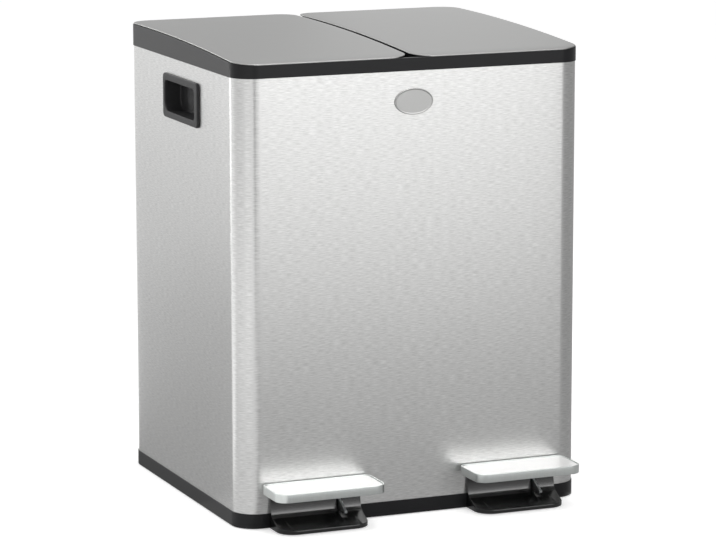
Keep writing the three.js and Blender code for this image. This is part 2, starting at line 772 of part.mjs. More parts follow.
// A tapered, round-cornered tub between two heights, lofted through its corner arcs
function tub(low, high, from, to) {
  const points = [];
  for (const [plan, z] of [[low, from], [high, to]]) {
    const corners = [
      [plan.x1 - plan.radius, plan.y1 - plan.radius, 0],
      [plan.x0 + plan.radius, plan.y1 - plan.radius, 1],
      [plan.x0 + plan.radius, plan.y0 + plan.radius, 2],
      [plan.x1 - plan.radius, plan.y0 + plan.radius, 3],
    ];
    for (const [x, y, quarter] of corners) {
      for (let i = 0; i <= lidFacets; i += 1) {
        const angle = ((quarter + i / lidFacets) * Math.PI) / 2;
        points.push(x + plan.radius * Math.cos(angle), y + plan.radius * Math.sin(angle), z);
      }
    }
  }
  const count = points.length / 6; // corners of one end
  const faces = [];
  for (let i = 0; i < count; i += 1) {
    const next = (i + 1) % count;
    faces.push(i, next, count + next, i, count + next, count + i);
  }
  for (let i = 1; i < count - 1; i += 1) {
    faces.push(0, i + 1, i, count, count + i, count + i + 1);
  }
  const geometry = new THREE.BufferGeometry();
  geometry.setAttribute('position', new THREE.Float32BufferAttribute(points, 3));
  geometry.setIndex(faces);
  return solidOf(geometry);
}

function bailPlace() {
  const { y0, y1 } = bucketPlan(0);
  return { y: (y0 + y1) / 2, z: bucketTop + 0.5 + bailThickness / 2 };
}

function makeBucket() {
  const inner = bucketRim + bucketWall;
  const outside = tub(bucketPlan(bucketRim + bucketTaper), bucketPlan(bucketRim), bucketSeat, bucketTop);
  const inside = tub(bucketPlan(inner + bucketTaper), bucketPlan(inner),
    bucketSeat + bucketWall, bucketTop + 1);
  const rimBlock = tub(bucketPlan(0), bucketPlan(0), bucketTop - rimTurn, bucketTop);
  const rimHollow = tub(bucketPlan(bucketWall), bucketPlan(bucketWall), bucketTop - rimTurn - 1,
    bucketTop - bucketWall);
  const bail = bailPlace();
  const rimOuter = bucketPlan(0);
  const stud = bailStud + pinPlay;
  let ears = block(rimOuter.x0, rimOuter.x0 + bucketRim, bail.y - earWidth / 2, bail.y + earWidth / 2,
    bucketTop - rimTurn, bucketTop + earHeight);
  ears = ears.add(block(rimOuter.x1 - bucketRim, rimOuter.x1, bail.y - earWidth / 2,
    bail.y + earWidth / 2, bucketTop - rimTurn, bucketTop + earHeight));
  return rimBlock.subtract(rimHollow)
    .add(outside)
    .add(ears)
    .subtract(inside)
    .subtract(bar(holeFor(stud), rimOuter.x0 - 1, rimOuter.x1 + 1, bail.y, bail.z));
}

// A folding handle that lies back on the rim: two legs, a grip across the rear, a stud in each ear
function makeBail() {
  const plan = bucketPlan(0);
  const { y, z } = bailPlace();
  const x0 = plan.x0 + bucketRim + fitGap;
  const x1 = plan.x1 - bucketRim - fitGap;
  const rear = plan.y1 - bucketWall;
  const bottom = z - bailThickness / 2;
  const top = z + bailThickness / 2;
  const radius = bucketRadius;
  const outline = cornered(x0, x1, y - bailLeg / 2, rear, [2, 2, radius, radius]);
  const hollow = cornered(x0 + bailLeg, x1 - bailLeg, y - bailLeg, rear - bailGrip,
    [1, 1, radius - bailLeg, radius - bailLeg]);
  return upright(outline, bottom, top)
    .subtract(upright(hollow, bottom - 1, top + 1))
    .add(bar(bailStud, plan.x0, x0 + 1, y, z))
    .add(bar(bailStud, x1 - 1, plan.x1, y, z));
}

// ---- Side handles and badge ----

function gripOutline(grow) {
  const y = gripLength / 2 + grow;
  const z = gripHeight / 2 + grow;
  return rounded(gripMiddle.y - y, gripMiddle.y + y, gripMiddle.z - z, gripMiddle.z + z,
    gripRadius + grow);
}

// The pocket's outer wall, and the window in the sheet that it passes through
function handleOutline(grow) {
  const y = gripLength / 2 + mouldingWall + grow;
  const low = gripMiddle.z - gripHeight / 2 - mouldingWall - grow;
  const high = gripMiddle.z + gripHeight / 2 + gripUndercut + mouldingWall + grow;
  return rounded(gripMiddle.y - y, gripMiddle.y + y, low, high, gripRadius + mouldingWall + grow);
}

function makeHandle() {
  const face = halfWidth + bezelProud;
  const floor = face - gripDepth;
  const y = bezelLength / 2;
  const z = bezelHeight / 2;
  const bezel = rounded(bezelMiddle.y - y, bezelMiddle.y + y, bezelMiddle.z - z, bezelMiddle.z + z,
    bezelRadius);
  const cavity = cornered(
    gripMiddle.y - gripLength / 2,
    gripMiddle.y + gripLength / 2,
    gripMiddle.z - gripHeight / 2,
    gripMiddle.z + gripHeight / 2 + gripUndercut,
    [gripRadius, 2 * gripRadius, gripRadius, gripRadius],
  );
  return across(bezel, halfWidth, face)
    .add(across(handleOutline(0), floor - mouldingWall, halfWidth + 1))
    .subtract(across(gripOutline(0), floor + 1, face + 1))
    .subtract(across(cavity, floor, halfWidth - bezelFlange + 1));
}

// A shallow dish with a raised rim, left plain
function makeBadge() {
  const oval = (inset) => {
    const shape = new THREE.Shape();
    const z = collarBottom - badgeBelowCollar;
    shape.absellipse(0, z, badgeWidth / 2 - inset, badgeHeight / 2 - inset, 0, 2 * Math.PI, false);
    return shape;
  };
  const back = -halfDepth;
  const plate = backward(oval(0), back - badgeThickness, back, badgeFacets);
  return plate.subtract(backward(oval(badgeRim), back - 2 * badgeThickness,
    back - badgeThickness + badgeDish, badgeFacets));
}

// ---- Assembly ----

const bin = new THREE.Group();
bin.position.set(0, (-pedalFront - halfDepth - trimLip) / 2, footStand);

function place(name, solid, look) {
  const mesh = new THREE.Mesh(geometryOf(solid), new THREE.MeshStandardMaterial(look));
  mesh.name = name;
  bin.add(mesh);
}

place('body_shell', makeShell(), brushedSteel);
place('base', makeBase(), satinBlack);
place('collar', makeCollar(), satinBlack);
place('badge', makeBadge(), satinSteel);

const footNames = ['foot_front_left', 'foot_front_right', 'foot_back_right', 'foot_back_left'];
footPlaces().forEach((spot, i) => place(footNames[i], makeFoot(spot), rubber));

const bufferX = openingSide + ledgeWidth / 2;
const bufferFront = bufferSetback.front - halfDepth;
const bufferBack = openingRear - bufferSetback.back;
const handle = makeHandle();
const bucket = makeBucket();
const bail = makeBail();
const panel = makeLidPanel();

for (const side of sides) {
  const hand = side.mirrored ? -1 : 1;
  const turned = (solid) => (side.mirrored ? mirrorX(solid) : solid);
  place(`${side.name}_handle`, turned(handle), satinBlack);
  place(`${side.name}_bucket`, turned(bucket), bucketBlack);
  place(`${side.name}_bucket_bail`, turned(bail), satinBlack);
  place(`${side.name}_lid_panel`, turned(panel), satinSteel);
  place(`${side.name}_lid_frame`, turned(makeLidFrame(hand * side.rodX)), satinBlack);
  place(`${side.name}_hinge_pin_inner`, makeHingePin(hand * knuckleInner), zincSteel);
  place(`${side.name}_hinge_pin_outer`, makeHingePin(hand * knuckleOuter), zincSteel);
  place(`${side.name}_crank_pin`, makeCrankPin(side.rodX), zincSteel);
  place(`${side.name}_push_rod`, makePushRod(side.rodX), zincSteel);
  place(`${side.name}_rod_pin`, makeRodPin(side), zincSteel);
  place(`${side.name}_pedal_lever`, makeLever(side), zincSteel);
  place(`${side.name}_lever_axle`, makeAxle(side), zincSteel);
  place(`${side.name}_pedal_rim`, makePedalRim(side), polishedSteel);
  place(`${side.name}_pedal_tread`, makeTread(side), polishedSteel);
  place(`${side.name}_shroud`, makeShroud(side), glossBlack);
  place(`${side.name}_buffer_front`, makeBuffer(hand * bufferX, bufferFront), rubber);
  place(`${side.name}_buffer_back`, makeBuffer(hand * bufferX, bufferBack), rubber);
}

export default bin;
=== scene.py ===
# %% [markdown]
# # A double recycling bin in brushed steel
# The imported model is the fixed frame: it says where every piece is and how it moves.
# This script dresses it. Sizes are in metres, +Z is up and -Y is the front with the pedals.

# %% Load the frame
import json
from math import asin, atan2, cos, pi, radians, sin

import bmesh
import bpy
import numpy as np
from mathutils import Matrix, Vector

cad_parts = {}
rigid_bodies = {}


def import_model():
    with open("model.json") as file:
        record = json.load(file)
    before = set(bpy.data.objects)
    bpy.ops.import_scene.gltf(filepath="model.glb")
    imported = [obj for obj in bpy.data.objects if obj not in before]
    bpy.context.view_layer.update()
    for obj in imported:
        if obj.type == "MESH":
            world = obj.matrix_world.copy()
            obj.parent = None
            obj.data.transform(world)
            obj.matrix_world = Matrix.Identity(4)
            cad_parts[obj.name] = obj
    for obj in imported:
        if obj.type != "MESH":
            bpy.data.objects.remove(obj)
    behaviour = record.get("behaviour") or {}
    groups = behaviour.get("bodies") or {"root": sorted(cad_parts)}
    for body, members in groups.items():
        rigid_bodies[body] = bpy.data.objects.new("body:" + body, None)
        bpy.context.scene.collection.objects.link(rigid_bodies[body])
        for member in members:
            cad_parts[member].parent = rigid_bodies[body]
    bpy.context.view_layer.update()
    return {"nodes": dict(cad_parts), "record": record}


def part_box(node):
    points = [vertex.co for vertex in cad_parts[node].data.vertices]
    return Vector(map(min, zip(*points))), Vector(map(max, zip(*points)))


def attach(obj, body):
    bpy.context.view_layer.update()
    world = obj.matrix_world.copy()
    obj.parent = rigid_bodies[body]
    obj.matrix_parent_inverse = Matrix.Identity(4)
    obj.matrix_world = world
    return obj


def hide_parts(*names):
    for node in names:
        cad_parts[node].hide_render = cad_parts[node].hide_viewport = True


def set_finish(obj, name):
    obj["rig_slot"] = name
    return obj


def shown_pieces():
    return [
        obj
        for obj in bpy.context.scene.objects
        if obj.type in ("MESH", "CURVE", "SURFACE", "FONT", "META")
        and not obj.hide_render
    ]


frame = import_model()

MM = 0.001
SIDES = ("left", "right")

# %% [markdown]
# ## Measures
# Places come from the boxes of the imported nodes, so the dressed pieces follow the model. What a
# box can't tell, such as a corner's radius, is written here once, as a real size.

# %% Measures of the body
shell_low, shell_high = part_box("body_shell")
MID_Y = (shell_low.y + shell_high.y) / 2
HALF_X = shell_high.x
HALF_Y = (shell_high.y - shell_low.y) / 2
FRONT_Y = shell_low.y
SHELL_BOTTOM = shell_low.z
SHELL_TOP = shell_high.z
BASE_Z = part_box("base")[0].z
CORNER = 25.7 * MM
SHEET = 0.8 * MM
body_size = (2 * HALF_X, 2 * HALF_Y, SHELL_TOP - SHELL_BOTTOM)
print("body:", [round(v / MM, 1) for v in body_size], "mm")

# %% [markdown]
# The two lids share one crown, like the lid of a chest but far flatter: it rises from the front
# and is highest near the hinges. The collar in the frame follows the same curve.

# %% The crown that the lids and the collar follow
CROWN_RADIUS = 4.2
CROWN_Y = shell_high.y - 65.5 * MM
CROWN_TOP = SHELL_TOP + 25.3 * MM


def crown(y):
    """Height of the lids' surface: the top of a 4.2 m circle whose highest line is at CROWN_Y."""
    return CROWN_TOP - CROWN_RADIUS + np.sqrt(CROWN_RADIUS ** 2 - (y - CROWN_Y) ** 2)


print("crown:", round(float(CROWN_TOP - crown(FRONT_Y)) / MM, 1), "mm from the front to the top")

# %% [markdown]
# ## From arrays to meshes
# Most pieces are stacks of closed outlines: a rounded rectangle that grows, shrinks and climbs.
# Each outline has the same number of points, so two neighbours are joined by one row of quads.
# A box with bevelled edges would be quicker, but it can't follow a taper, a crown or a rolled rim.

# %% Outlines and stacks of rings
SMALLEST_RADIUS = 0.01 * MM


def outline(x0, x1, y0, y1, radii, arc=12, side=1):
    """A rounded rectangle, anticlockwise from the low-x low-y corner.

    Each corner is its centre plus r (cos a, sin a) for a quarter turn of a, in arc steps. Each
    side between two corners is cut into side equal parts. radii are for the corners low-low,
    high-low, high-high and low-high."""
    radii = np.maximum(radii, SMALLEST_RADIUS)
    centre_x = np.array([x0, x1, x1, x0]) + radii * np.array([1, -1, -1, 1])
    centre_y = np.array([y0, y0, y1, y1]) + radii * np.array([1, 1, -1, -1])
    start = np.array([1.0, 1.5, 0.0, 0.5])[:, None] * pi
    turn = start + np.linspace(0, pi / 2, arc + 1)[None, :]
    arcs = np.stack([centre_x[:, None] + radii[:, None] * np.cos(turn),
                     centre_y[:, None] + radii[:, None] * np.sin(turn)], axis=-1)
    ends, starts = arcs[:, -1], np.roll(arcs[:, 0], -1, axis=0)
    share = (np.arange(1, side) / side)[None, :, None]
    sides = ends[:, None] * (1 - share) + starts[:, None] * share
    return np.concatenate([arcs, sides], axis=1).reshape(-1, 2)


def level(points, z):
    """Lifts (n, 2) points to height z, one value or one for each point."""
    return np.column_stack([points, np.broadcast_to(z, len(points))])


def new_object(name, mesh):
    """Puts a mesh into the scene, at the origin and unturned."""
    obj = bpy.data.objects.new(name, mesh)
    bpy.context.scene.collection.objects.link(obj)
    return obj


def from_rings(name, rings, wrap=False):
    """Joins rings of equal length by quads; the ends are closed by caps, or to each other."""
    rings = np.asarray(rings, float)
    rows, count = rings.shape[:2]
    index = np.arange(rows * count).reshape(rows, count)
    low, high = (index, np.roll(index, -1, axis=0)) if wrap else (index[:-1], index[1:])
    quads = np.stack([low, np.roll(low, -1, axis=1), np.roll(high, -1, axis=1), high], axis=-1)
    faces = quads.reshape(-1, 4).tolist()
    if not wrap:
        faces += [index[0, ::-1].tolist(), index[-1].tolist()]
    mesh = bpy.data.meshes.new(name)
    mesh.from_pydata(rings.reshape(-1, 3).tolist(), [], faces)
    return new_object(name, mesh)


print("an outline with the usual corners:", len(outline(0, 1, 0, 1, np.full(4, 0.1))), "points")

# %% [markdown]
# A stack needs some care before it is a piece. Points that fell together are welded, faces are
# turned outwards, and an edge is drawn sharp only where two faces meet at more than some degrees.

# %% Welding, shading and modifiers
WELD = 0.001 * MM
NO_LENGTH = 0.0001 * MM


def tidy(obj, sharp, recalculate=True):
    """Welds doubles, turns every face outwards and draws edges over sharp degrees as edges."""
    bm = bmesh.new()
    bm.from_mesh(obj.data)
    bmesh.ops.remove_doubles(bm, verts=bm.verts, dist=WELD)
    bmesh.ops.dissolve_degenerate(bm, edges=bm.edges, dist=NO_LENGTH)
    if recalculate:
        bmesh.ops.recalc_face_normals(bm, faces=bm.faces)
    bm.to_mesh(obj.data)
    bm.free()
    obj.data.shade_smooth()
    obj.data.set_sharp_from_angle(angle=radians(sharp))
    return obj


def apply_modifiers(obj):
    """Turns what the modifiers show into the piece's own mesh."""
    graph = bpy.context.evaluated_depsgraph_get()
    mesh = bpy.data.meshes.new_from_object(obj.evaluated_get(graph))
    obj.modifiers.clear()
    obj.data = mesh
    return obj


# %% [markdown]
# ## Which body a piece rides on
# The lids, the pedals, the push rods and the bails move. A dressed piece stands for the packed
# node of the same job, moves with its body and takes its material slot, so no place or joint is
# written twice.

# %% Riding and replacing
SLOT_OF = {part["node"]: part["material_slot"] for part in frame["record"]["subparts"]}
BODY_OF = {node: body for body, nodes in frame["record"]["behaviour"]["bodies"].items()
           for node in nodes}


def stands_for(obj, node):
    """Ties a dressed piece to the body and the slot of the node that it hides."""
    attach(obj, BODY_OF[node])
    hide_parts(node)
    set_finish(obj, SLOT_OF[node])
    print(f"{obj.name}: {len(obj.data.polygons)} faces for {node}")
    return obj


print("slots:", ", ".join(sorted(set(SLOT_OF.values()))))

# %% [markdown]
# ## Steel body
# The real body is one sheet of brushed stainless steel, bent round four corners and locked in a
# seam at the back. A sheet is a surface with a thickness, so it is made as one: distance round
# the body by height, with the windows left out, and a Solidify modifier for the steel.
# The distance round the body is kept as the UV map, which lets the brushing follow the bends.
#
# The windows for the grips are a little smaller than the bezels, which hide their cut edges. The
# arms of the pedals come out through two slots at the foot of the front.

# %% The sheet's windows and slots
WINDOW_LAP = {"front": 6.5 * MM, "back": 3.5 * MM, "below": 4.65 * MM, "above": 1.65 * MM}
ARM_SLOT = 6.6 * MM
ARM_SLOT_TOP = BASE_Z + 38.5 * MM
bezel_low, bezel_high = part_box("right_handle")
window_y = (bezel_low.y + WINDOW_LAP["front"], bezel_high.y - WINDOW_LAP["back"])
window_z = (bezel_low.z + WINDOW_LAP["below"], bezel_high.z - WINDOW_LAP["above"])
lever_x = [sum(v.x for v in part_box(f"{side}_pedal_lever")) / 2 for side in SIDES]
slot_x = sorted(x + hand * ARM_SLOT / 2 for x in lever_x for hand in (-1, 1))
window_size = (window_y[1] - window_y[0], window_z[1] - window_z[0])
print("window:", [round(v / MM, 1) for v in window_size], "mm")

# %% The sheet's outline from above
SEAM_STEP = 0.4 * MM
SEAM_WIDTH = 6 * MM
COLUMN_GAP = 30 * MM
BEND_COLUMNS = 24


def run(*stops, step):
    """Stops along a wall, with even ones added between them."""
    parts = [np.linspace(a, b, max(2, int(abs(b - a) / step) + 1), endpoint=False)
             for a, b in zip(stops[:-1], stops[1:])]
    return np.concatenate(parts)


def bend(centre_x, centre_y, first):
    """A quarter circle of the corner radius, from the angle first on."""
    turn = first + np.linspace(0, pi / 2, BEND_COLUMNS, endpoint=False)
    return np.column_stack([centre_x + CORNER * np.cos(turn), centre_y + CORNER * np.sin(turn)])


def sheet_plan():
    """Four straight walls and four bends, anticlockwise from the left end of the front.

    A wall has a column at each edge of its windows or slots, and the seam lies a step deeper."""
    flat_x, flat_y = HALF_X - CORNER, HALF_Y - CORNER
    seam = SEAM_WIDTH / 2
    front = run(-flat_x, *slot_x, flat_x, step=COLUMN_GAP)
    right = run(MID_Y - flat_y, *window_y, MID_Y + flat_y, step=COLUMN_GAP)
    back = run(flat_x, seam + SEAM_STEP, seam, -seam, -seam - SEAM_STEP, -flat_x,
               step=COLUMN_GAP)
    left = run(MID_Y + flat_y, *window_y[::-1], MID_Y - flat_y, step=COLUMN_GAP)
    back_y = MID_Y + HALF_Y - SEAM_STEP * (np.abs(back) < seam + SEAM_STEP / 2)
    return np.concatenate([
        np.column_stack([front, np.full(len(front), MID_Y - HALF_Y)]),
        bend(flat_x, MID_Y - flat_y, -pi / 2),
        np.column_stack([np.full(len(right), HALF_X), right]),
        bend(flat_x, MID_Y + flat_y, 0),
        np.column_stack([back, back_y]),
        bend(-flat_x, MID_Y + flat_y, pi / 2),
        np.column_stack([np.full(len(left), -HALF_X), left]),
        bend(-flat_x, MID_Y - flat_y, pi),
    ])


plan = sheet_plan()
plan_steps = np.linalg.norm(np.roll(plan, -1, axis=0) - plan, axis=1)
print("sheet:", len(plan), "columns,", round(plan_steps.sum() / MM), "mm round")

# %% The sheet's openings
ON_WALL = 0.1 * MM


def open_cells(plan, rows):
    """True for each cell of the grid whose middle is in a grip's window or in an arm's slot."""
    middle = (plan + np.roll(plan, -1, axis=0)) / 2
    height = ((rows[:-1] + rows[1:]) / 2)[:, None]
    on_side = np.abs(middle[:, 0]) > HALF_X - ON_WALL
    in_window = on_side & (middle[:, 1] > window_y[0]) & (middle[:, 1] < window_y[1])
    on_front = middle[:, 1] < MID_Y - HALF_Y + ON_WALL
    at_arm = np.abs(middle[:, :1] - np.array(lever_x)) < ARM_SLOT / 2
    in_slot = on_front & np.any(at_arm, axis=1)
    return (in_window & (height > window_z[0]) & (height < window_z[1])) | (
        in_slot & (height < ARM_SLOT_TOP))


ROW_GAP = 60 * MM
rows = np.append(run(SHELL_BOTTOM, ARM_SLOT_TOP, *window_z, SHELL_TOP, step=ROW_GAP), SHELL_TOP)
print("cells left open:", int(open_cells(plan, rows).sum()))

# %% Make the steel body
def steel_body():
    """P(s, z): s is the distance along the plan and z the height. An open cell has no face."""
    shut = ~open_cells(plan, rows)
    index = np.arange(len(rows) * len(plan)).reshape(len(rows), len(plan))
    ahead = np.roll(index, -1, axis=1)
    quads = np.stack([index[:-1], ahead[:-1], ahead[1:], index[1:]], axis=-1)[shut]
    points = np.stack([level(plan, z) for z in rows])
    mesh = bpy.data.meshes.new("steel_body")
    mesh.from_pydata(points.reshape(-1, 3).tolist(), [], quads.tolist())

    around = np.concatenate([[0], np.cumsum(plan_steps)])
    row, column = np.nonzero(shut)
    u = np.stack([around[column], around[column + 1], around[column + 1], around[column]], axis=-1)
    v = np.stack([rows[row], rows[row], rows[row + 1], rows[row + 1]], axis=-1)
    layer = mesh.uv_layers.new(name="around")
    layer.data.foreach_set("uv", np.stack([u, v], axis=-1).ravel())
    return new_object("steel_body", mesh)


body = steel_body()
wall = body.modifiers.new("sheet", "SOLIDIFY")
wall.thickness = SHEET
wall.offset = -1
apply_modifiers(body)
tidy(body, sharp=40, recalculate=False)
stands_for(body, "body_shell")

# %% [markdown]
# ## Shapes kept from the frame
# The base, the collar, the lid frames, the levers, the bails and the push rods have their true
# shape in the frame already. Each is copied and welded, so that its bends can be shaded smooth
# while flat faces stay flat: the Weighted Normal modifier lets the largest face decide.

# %% Welded copies
SHARP = 30
SAME_PLANE = radians(0.4)


def welded_copy(node, name):
    """The node's own mesh, with its loose triangles joined and each flat face made one."""
    obj = new_object(name, frame["nodes"][node].data.copy())
    obj.data.materials.clear()
    for attribute in ("custom_normal", "sharp_face", "sharp_edge"):
        if attribute in obj.data.attributes:
            obj.data.attributes.remove(obj.data.attributes[attribute])
    tidy(obj, sharp=SHARP, recalculate=False)
    bm = bmesh.new()
    bm.from_mesh(obj.data)
    bmesh.ops.dissolve_limit(bm, angle_limit=SAME_PLANE, verts=bm.verts, edges=bm.edges)
    bm.to_mesh(obj.data)
    bm.free()
    obj.data.set_sharp_from_angle(angle=radians(SHARP))
    weighted = obj.modifiers.new("flat faces decide", "WEIGHTED_NORMAL")
    weighted.keep_sharp = True
    weighted.weight = 100
    return stands_for(obj, node)


COPIES = {"base": "base_moulding", "collar": "collar_moulding"}
for side in SIDES:
    COPIES[f"{side}_lid_frame"] = f"{side}_lid_moulding"
    COPIES[f"{side}_pedal_lever"] = f"{side}_lever_bar"
    COPIES[f"{side}_bucket_bail"] = f"{side}_bail"
    COPIES[f"{side}_push_rod"] = f"{side}_lift_rod"
for node, name in COPIES.items():
    welded_copy(node, name)

# %% [markdown]
# ## Lid skins
# Each lid wears a thin steel skin, pressed to a slight crown from front to back and folded down
# at its edge. Outlines that shrink towards the middle give the top and the underside; between
# them some more follow the fold. The fold's edge is rounded, and the front rolls down slightly,
# because sheet metal never turns at a knife edge.

# %% Make the lid skins
LID_CORNER = {"outer": 24 * MM, "inner": 21 * MM}
FOLD = 1.2 * MM
FOLD_EDGE = 0.15 * MM
SKIN = 0.6 * MM
EDGE_ROUND = 0.6 * MM
FRONT_ROLL = 7 * MM
FRONT_DROP = 0.45 * MM


def lid_skin(side):
    """Rings at (inset, drop): z = crown(y) - drop, less a roll over the front edge."""
    low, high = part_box(f"{side}_lid_panel")
    low_x, high_x = ("outer", "inner") if side == "left" else ("inner", "outer")
    radii = np.array([LID_CORNER[end] for end in (low_x, high_x, high_x, low_x)])
    middle = np.array([(low.x + high.x) / 2, (low.y + high.y) / 2])

    def ring(inset, drop, shrink=1.0):
        points = outline(low.x + inset, high.x - inset, low.y + inset, high.y - inset,
                         radii - inset, arc=14, side=16)
        points = middle + (points - middle) * shrink
        front = np.clip(1 - (points[:, 1] - low.y) / FRONT_ROLL, 0, 1)
        top = np.minimum(crown(points[:, 1]), high.z)
        return level(points, top - drop - FRONT_DROP * front ** 2)

    inwards = np.linspace(1, 0, 14) ** 0.8
    rings = [ring(SKIN, SKIN, s) for s in inwards[::-1]]
    rings += [ring(SKIN, FOLD), ring(FOLD_EDGE, FOLD), ring(0, FOLD - FOLD_EDGE)]
    rings += [ring(EDGE_ROUND * (1 - cos(turn)), EDGE_ROUND * (1 - sin(turn)))
              for turn in np.linspace(0, pi / 2, 6)]
    rings += [ring(EDGE_ROUND, 0, s) for s in inwards[1:]]
    return tidy(from_rings(f"{side}_lid_skin", rings), sharp=50)


for side in SIDES:
    stands_for(lid_skin(side), f"{side}_lid_panel")

# %% [markdown]
# ## Pedals
# A bent and polished steel band holds a flat tread just below its top edge. The band is a small
# rounded section carried round the pedal's outline; the tread is a plate whose edge is broken by
# a fine bevel. Both are stacks of outlines, and the band's stack closes on itself.

# %% Make the pedals
RIM_RADII = np.array([13, 13, 9, 9]) * MM
RIM_WALL = 1.6 * MM
RIM_EDGE = 0.45 * MM
TREAD_INSET = RIM_WALL + 0.15 * MM
TREAD_BEVEL = 0.25 * MM


def inset_rings(low, high, radii, steps):
    """The outline of a box from above, held in by i at height z, for each (i, z) of steps."""
    return [level(outline(low.x + i, high.x - i, low.y + i, high.y - i, radii - i, arc=14), z)
            for i, z in steps]


def pedal_rim(side):
    """The band's section, a rounded rectangle in (inset, z), carried round the outline."""
    low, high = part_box(f"{side}_pedal_rim")
    section = outline(0, RIM_WALL, low.z, high.z, np.full(4, RIM_EDGE), arc=4)
    rings = inset_rings(low, high, RIM_RADII, section)
    return tidy(from_rings(f"{side}_rim_band", rings, wrap=True), sharp=60)


def pedal_tread(side):
    """Four outlines: underside, two along the edge and top, with a bevel between them."""
    low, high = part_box(f"{side}_pedal_tread")
    steps = [(TREAD_BEVEL, low.z), (0, low.z + TREAD_BEVEL),
             (0, high.z - TREAD_BEVEL), (TREAD_BEVEL, high.z)]
    rings = inset_rings(low, high, RIM_RADII - TREAD_INSET, steps)
    return tidy(from_rings(f"{side}_tread_plate", rings), sharp=30)


for side in SIDES:
    stands_for(pedal_rim(side), f"{side}_pedal_rim")
    stands_for(pedal_tread(side), f"{side}_pedal_tread")

# %% [markdown]
# ## Shrouds
# A glossy moulding stands in front of each arm's slot. Its wall leans forward in a hollow curve
# and sweeps into a foot that keeps the bin from tipping. The curve is a profile in (y, z) carried
# across the width; where the plan's corners are rounded the profile is simply held back, which
# leaves the upright edge that the real moulding has. The slot for the arm is cut afterwards.

# %% The shroud's profile
WALL_PROUD = 3.1 * MM
WALL_RADIUS = 69 * MM
WALL_FOOT = BASE_Z + 16 * MM
SWEEP = 7 * MM
NOSE = BASE_Z + 4.6 * MM
CREST = 0.9 * MM
FOOT_EDGE = 1.5 * MM
FOOT_CORNER = 18.7 * MM


def arc(centre_y, centre_z, radius, first, last, count):
    """Points centre + r (cos a, -sin a), with a measured downwards from +Y."""
    a = np.linspace(first, last, count)
    return np.column_stack([centre_y + radius * np.cos(a), centre_z - radius * np.sin(a)])


def shroud_profile(front, top):
    """Crest, wall of 69 mm radius, sweep of 7 mm, slope and a rounded nose, as (y, z) rows."""
    wall_y = FRONT_Y - WALL_PROUD
    lean = asin((top - WALL_FOOT) / WALL_RADIUS)
    sweep_y = wall_y - WALL_RADIUS + (WALL_RADIUS - SWEEP) * cos(lean)
    sweep_z = top - (WALL_RADIUS - SWEEP) * sin(lean)
    slope = atan2(sweep_z - SWEEP - NOSE, sweep_y - front)
    crest = arc(wall_y + CREST, top - CREST, CREST, -pi / 2, -pi, 6)
    wall = arc(wall_y - WALL_RADIUS, top, WALL_RADIUS, CREST / WALL_RADIUS, lean, 12)
    sweep = arc(sweep_y, sweep_z, SWEEP, lean, pi / 2 - slope, 16)
    nose = arc(front + FOOT_EDGE, NOSE - FOOT_EDGE, FOOT_EDGE, -pi / 2 - slope, -pi, 7)
    return np.concatenate([crest, wall[1:], sweep[1:], nose])


shroud_low, shroud_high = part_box("left_shroud")
print("profile:", len(shroud_profile(shroud_low.y, shroud_high.z)), "points")


# %% Blocks and cuts
def box_object(name, low, high):
    """A plain block between two corners, to cut with or to join on."""
    rings = [level(outline(low[0], high[0], low[1], high[1], np.zeros(4), arc=1), z)
             for z in (low[2], high[2])]
    return tidy(from_rings(name, rings), sharp=30)


def cut(obj, cutter, operation="DIFFERENCE"):
    """Takes the cutter's shape from a piece, or adds it with UNION, and removes the cutter."""
    step = obj.modifiers.new("cut", "BOOLEAN")
    step.operation = operation
    step.solver = "EXACT"
    step.object = cutter
    apply_modifiers(obj)
    bpy.data.objects.remove(cutter)
    return obj


# %% Make the shrouds
BAND_PROUD = 0.8 * MM
SLOT_FRONT = FRONT_Y - 24.4 * MM
SLOT_BACK = FRONT_Y + 20 * MM
CLEAR = 0.1 * MM


def shroud(side, arm_x):
    """P(x, t): the profile at t, held back where the rounded plan corner starts.

    The columns stand closer towards the corners, at r (1 - cos a) for even steps of a."""
    low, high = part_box(f"{side}_shroud")
    ease = (1 - np.cos(np.linspace(0, pi / 2, 20))) * FOOT_CORNER
    across = np.concatenate([low.x + ease, high.x - ease[::-1]])
    inset = np.minimum(np.minimum(across - low.x, high.x - across), FOOT_CORNER)
    limit = low.y + FOOT_CORNER - np.sqrt(FOOT_CORNER ** 2 - (FOOT_CORNER - inset) ** 2)
    profile = shroud_profile(low.y, high.z)
    y = np.maximum(profile[None, :, 0], limit[:, None])
    z = np.broadcast_to(profile[None, :, 1], y.shape)
    x = np.broadcast_to(across[:, None], y.shape)
    face = np.stack([x, y, z], axis=-1)
    foot, crest = face[:, -1:].copy(), face[:, :1].copy()
    foot[..., 2] = BASE_Z
    heel = foot.copy()
    heel[..., 1] = crest[..., 1] = FRONT_Y
    rings = np.concatenate([face, foot, heel, crest], axis=1)
    form = tidy(from_rings(f"{side}_arm_shroud", rings), sharp=40)
    cut(form, box_object("band", (low.x - MM, FRONT_Y - BAND_PROUD, BASE_Z - MM),
                         (high.x + MM, 0, SHELL_BOTTOM)))
    half = ARM_SLOT / 2
    slot_plan = outline(arm_x - half, arm_x + half, SLOT_FRONT, SLOT_BACK,
                        np.array([half - CLEAR, half - CLEAR, CLEAR, CLEAR]), arc=8)
    slot = [level(slot_plan, z) for z in (BASE_Z - MM, ARM_SLOT_TOP)]
    cut(form, tidy(from_rings("slot", slot), sharp=30))
    return tidy(form, sharp=40, recalculate=False)


for side, arm_x in zip(SIDES, lever_x):
    stands_for(shroud(side, arm_x), f"{side}_shroud")

# %% [markdown]
# ## Side handles
# The grips are mouldings clipped into a window in the sheet: a raised bezel, and a pocket for
# the fingers that opens upwards behind it. One run of outlines goes round the whole section,
# from the pocket's back, over the bezel and down to the pocket's floor.

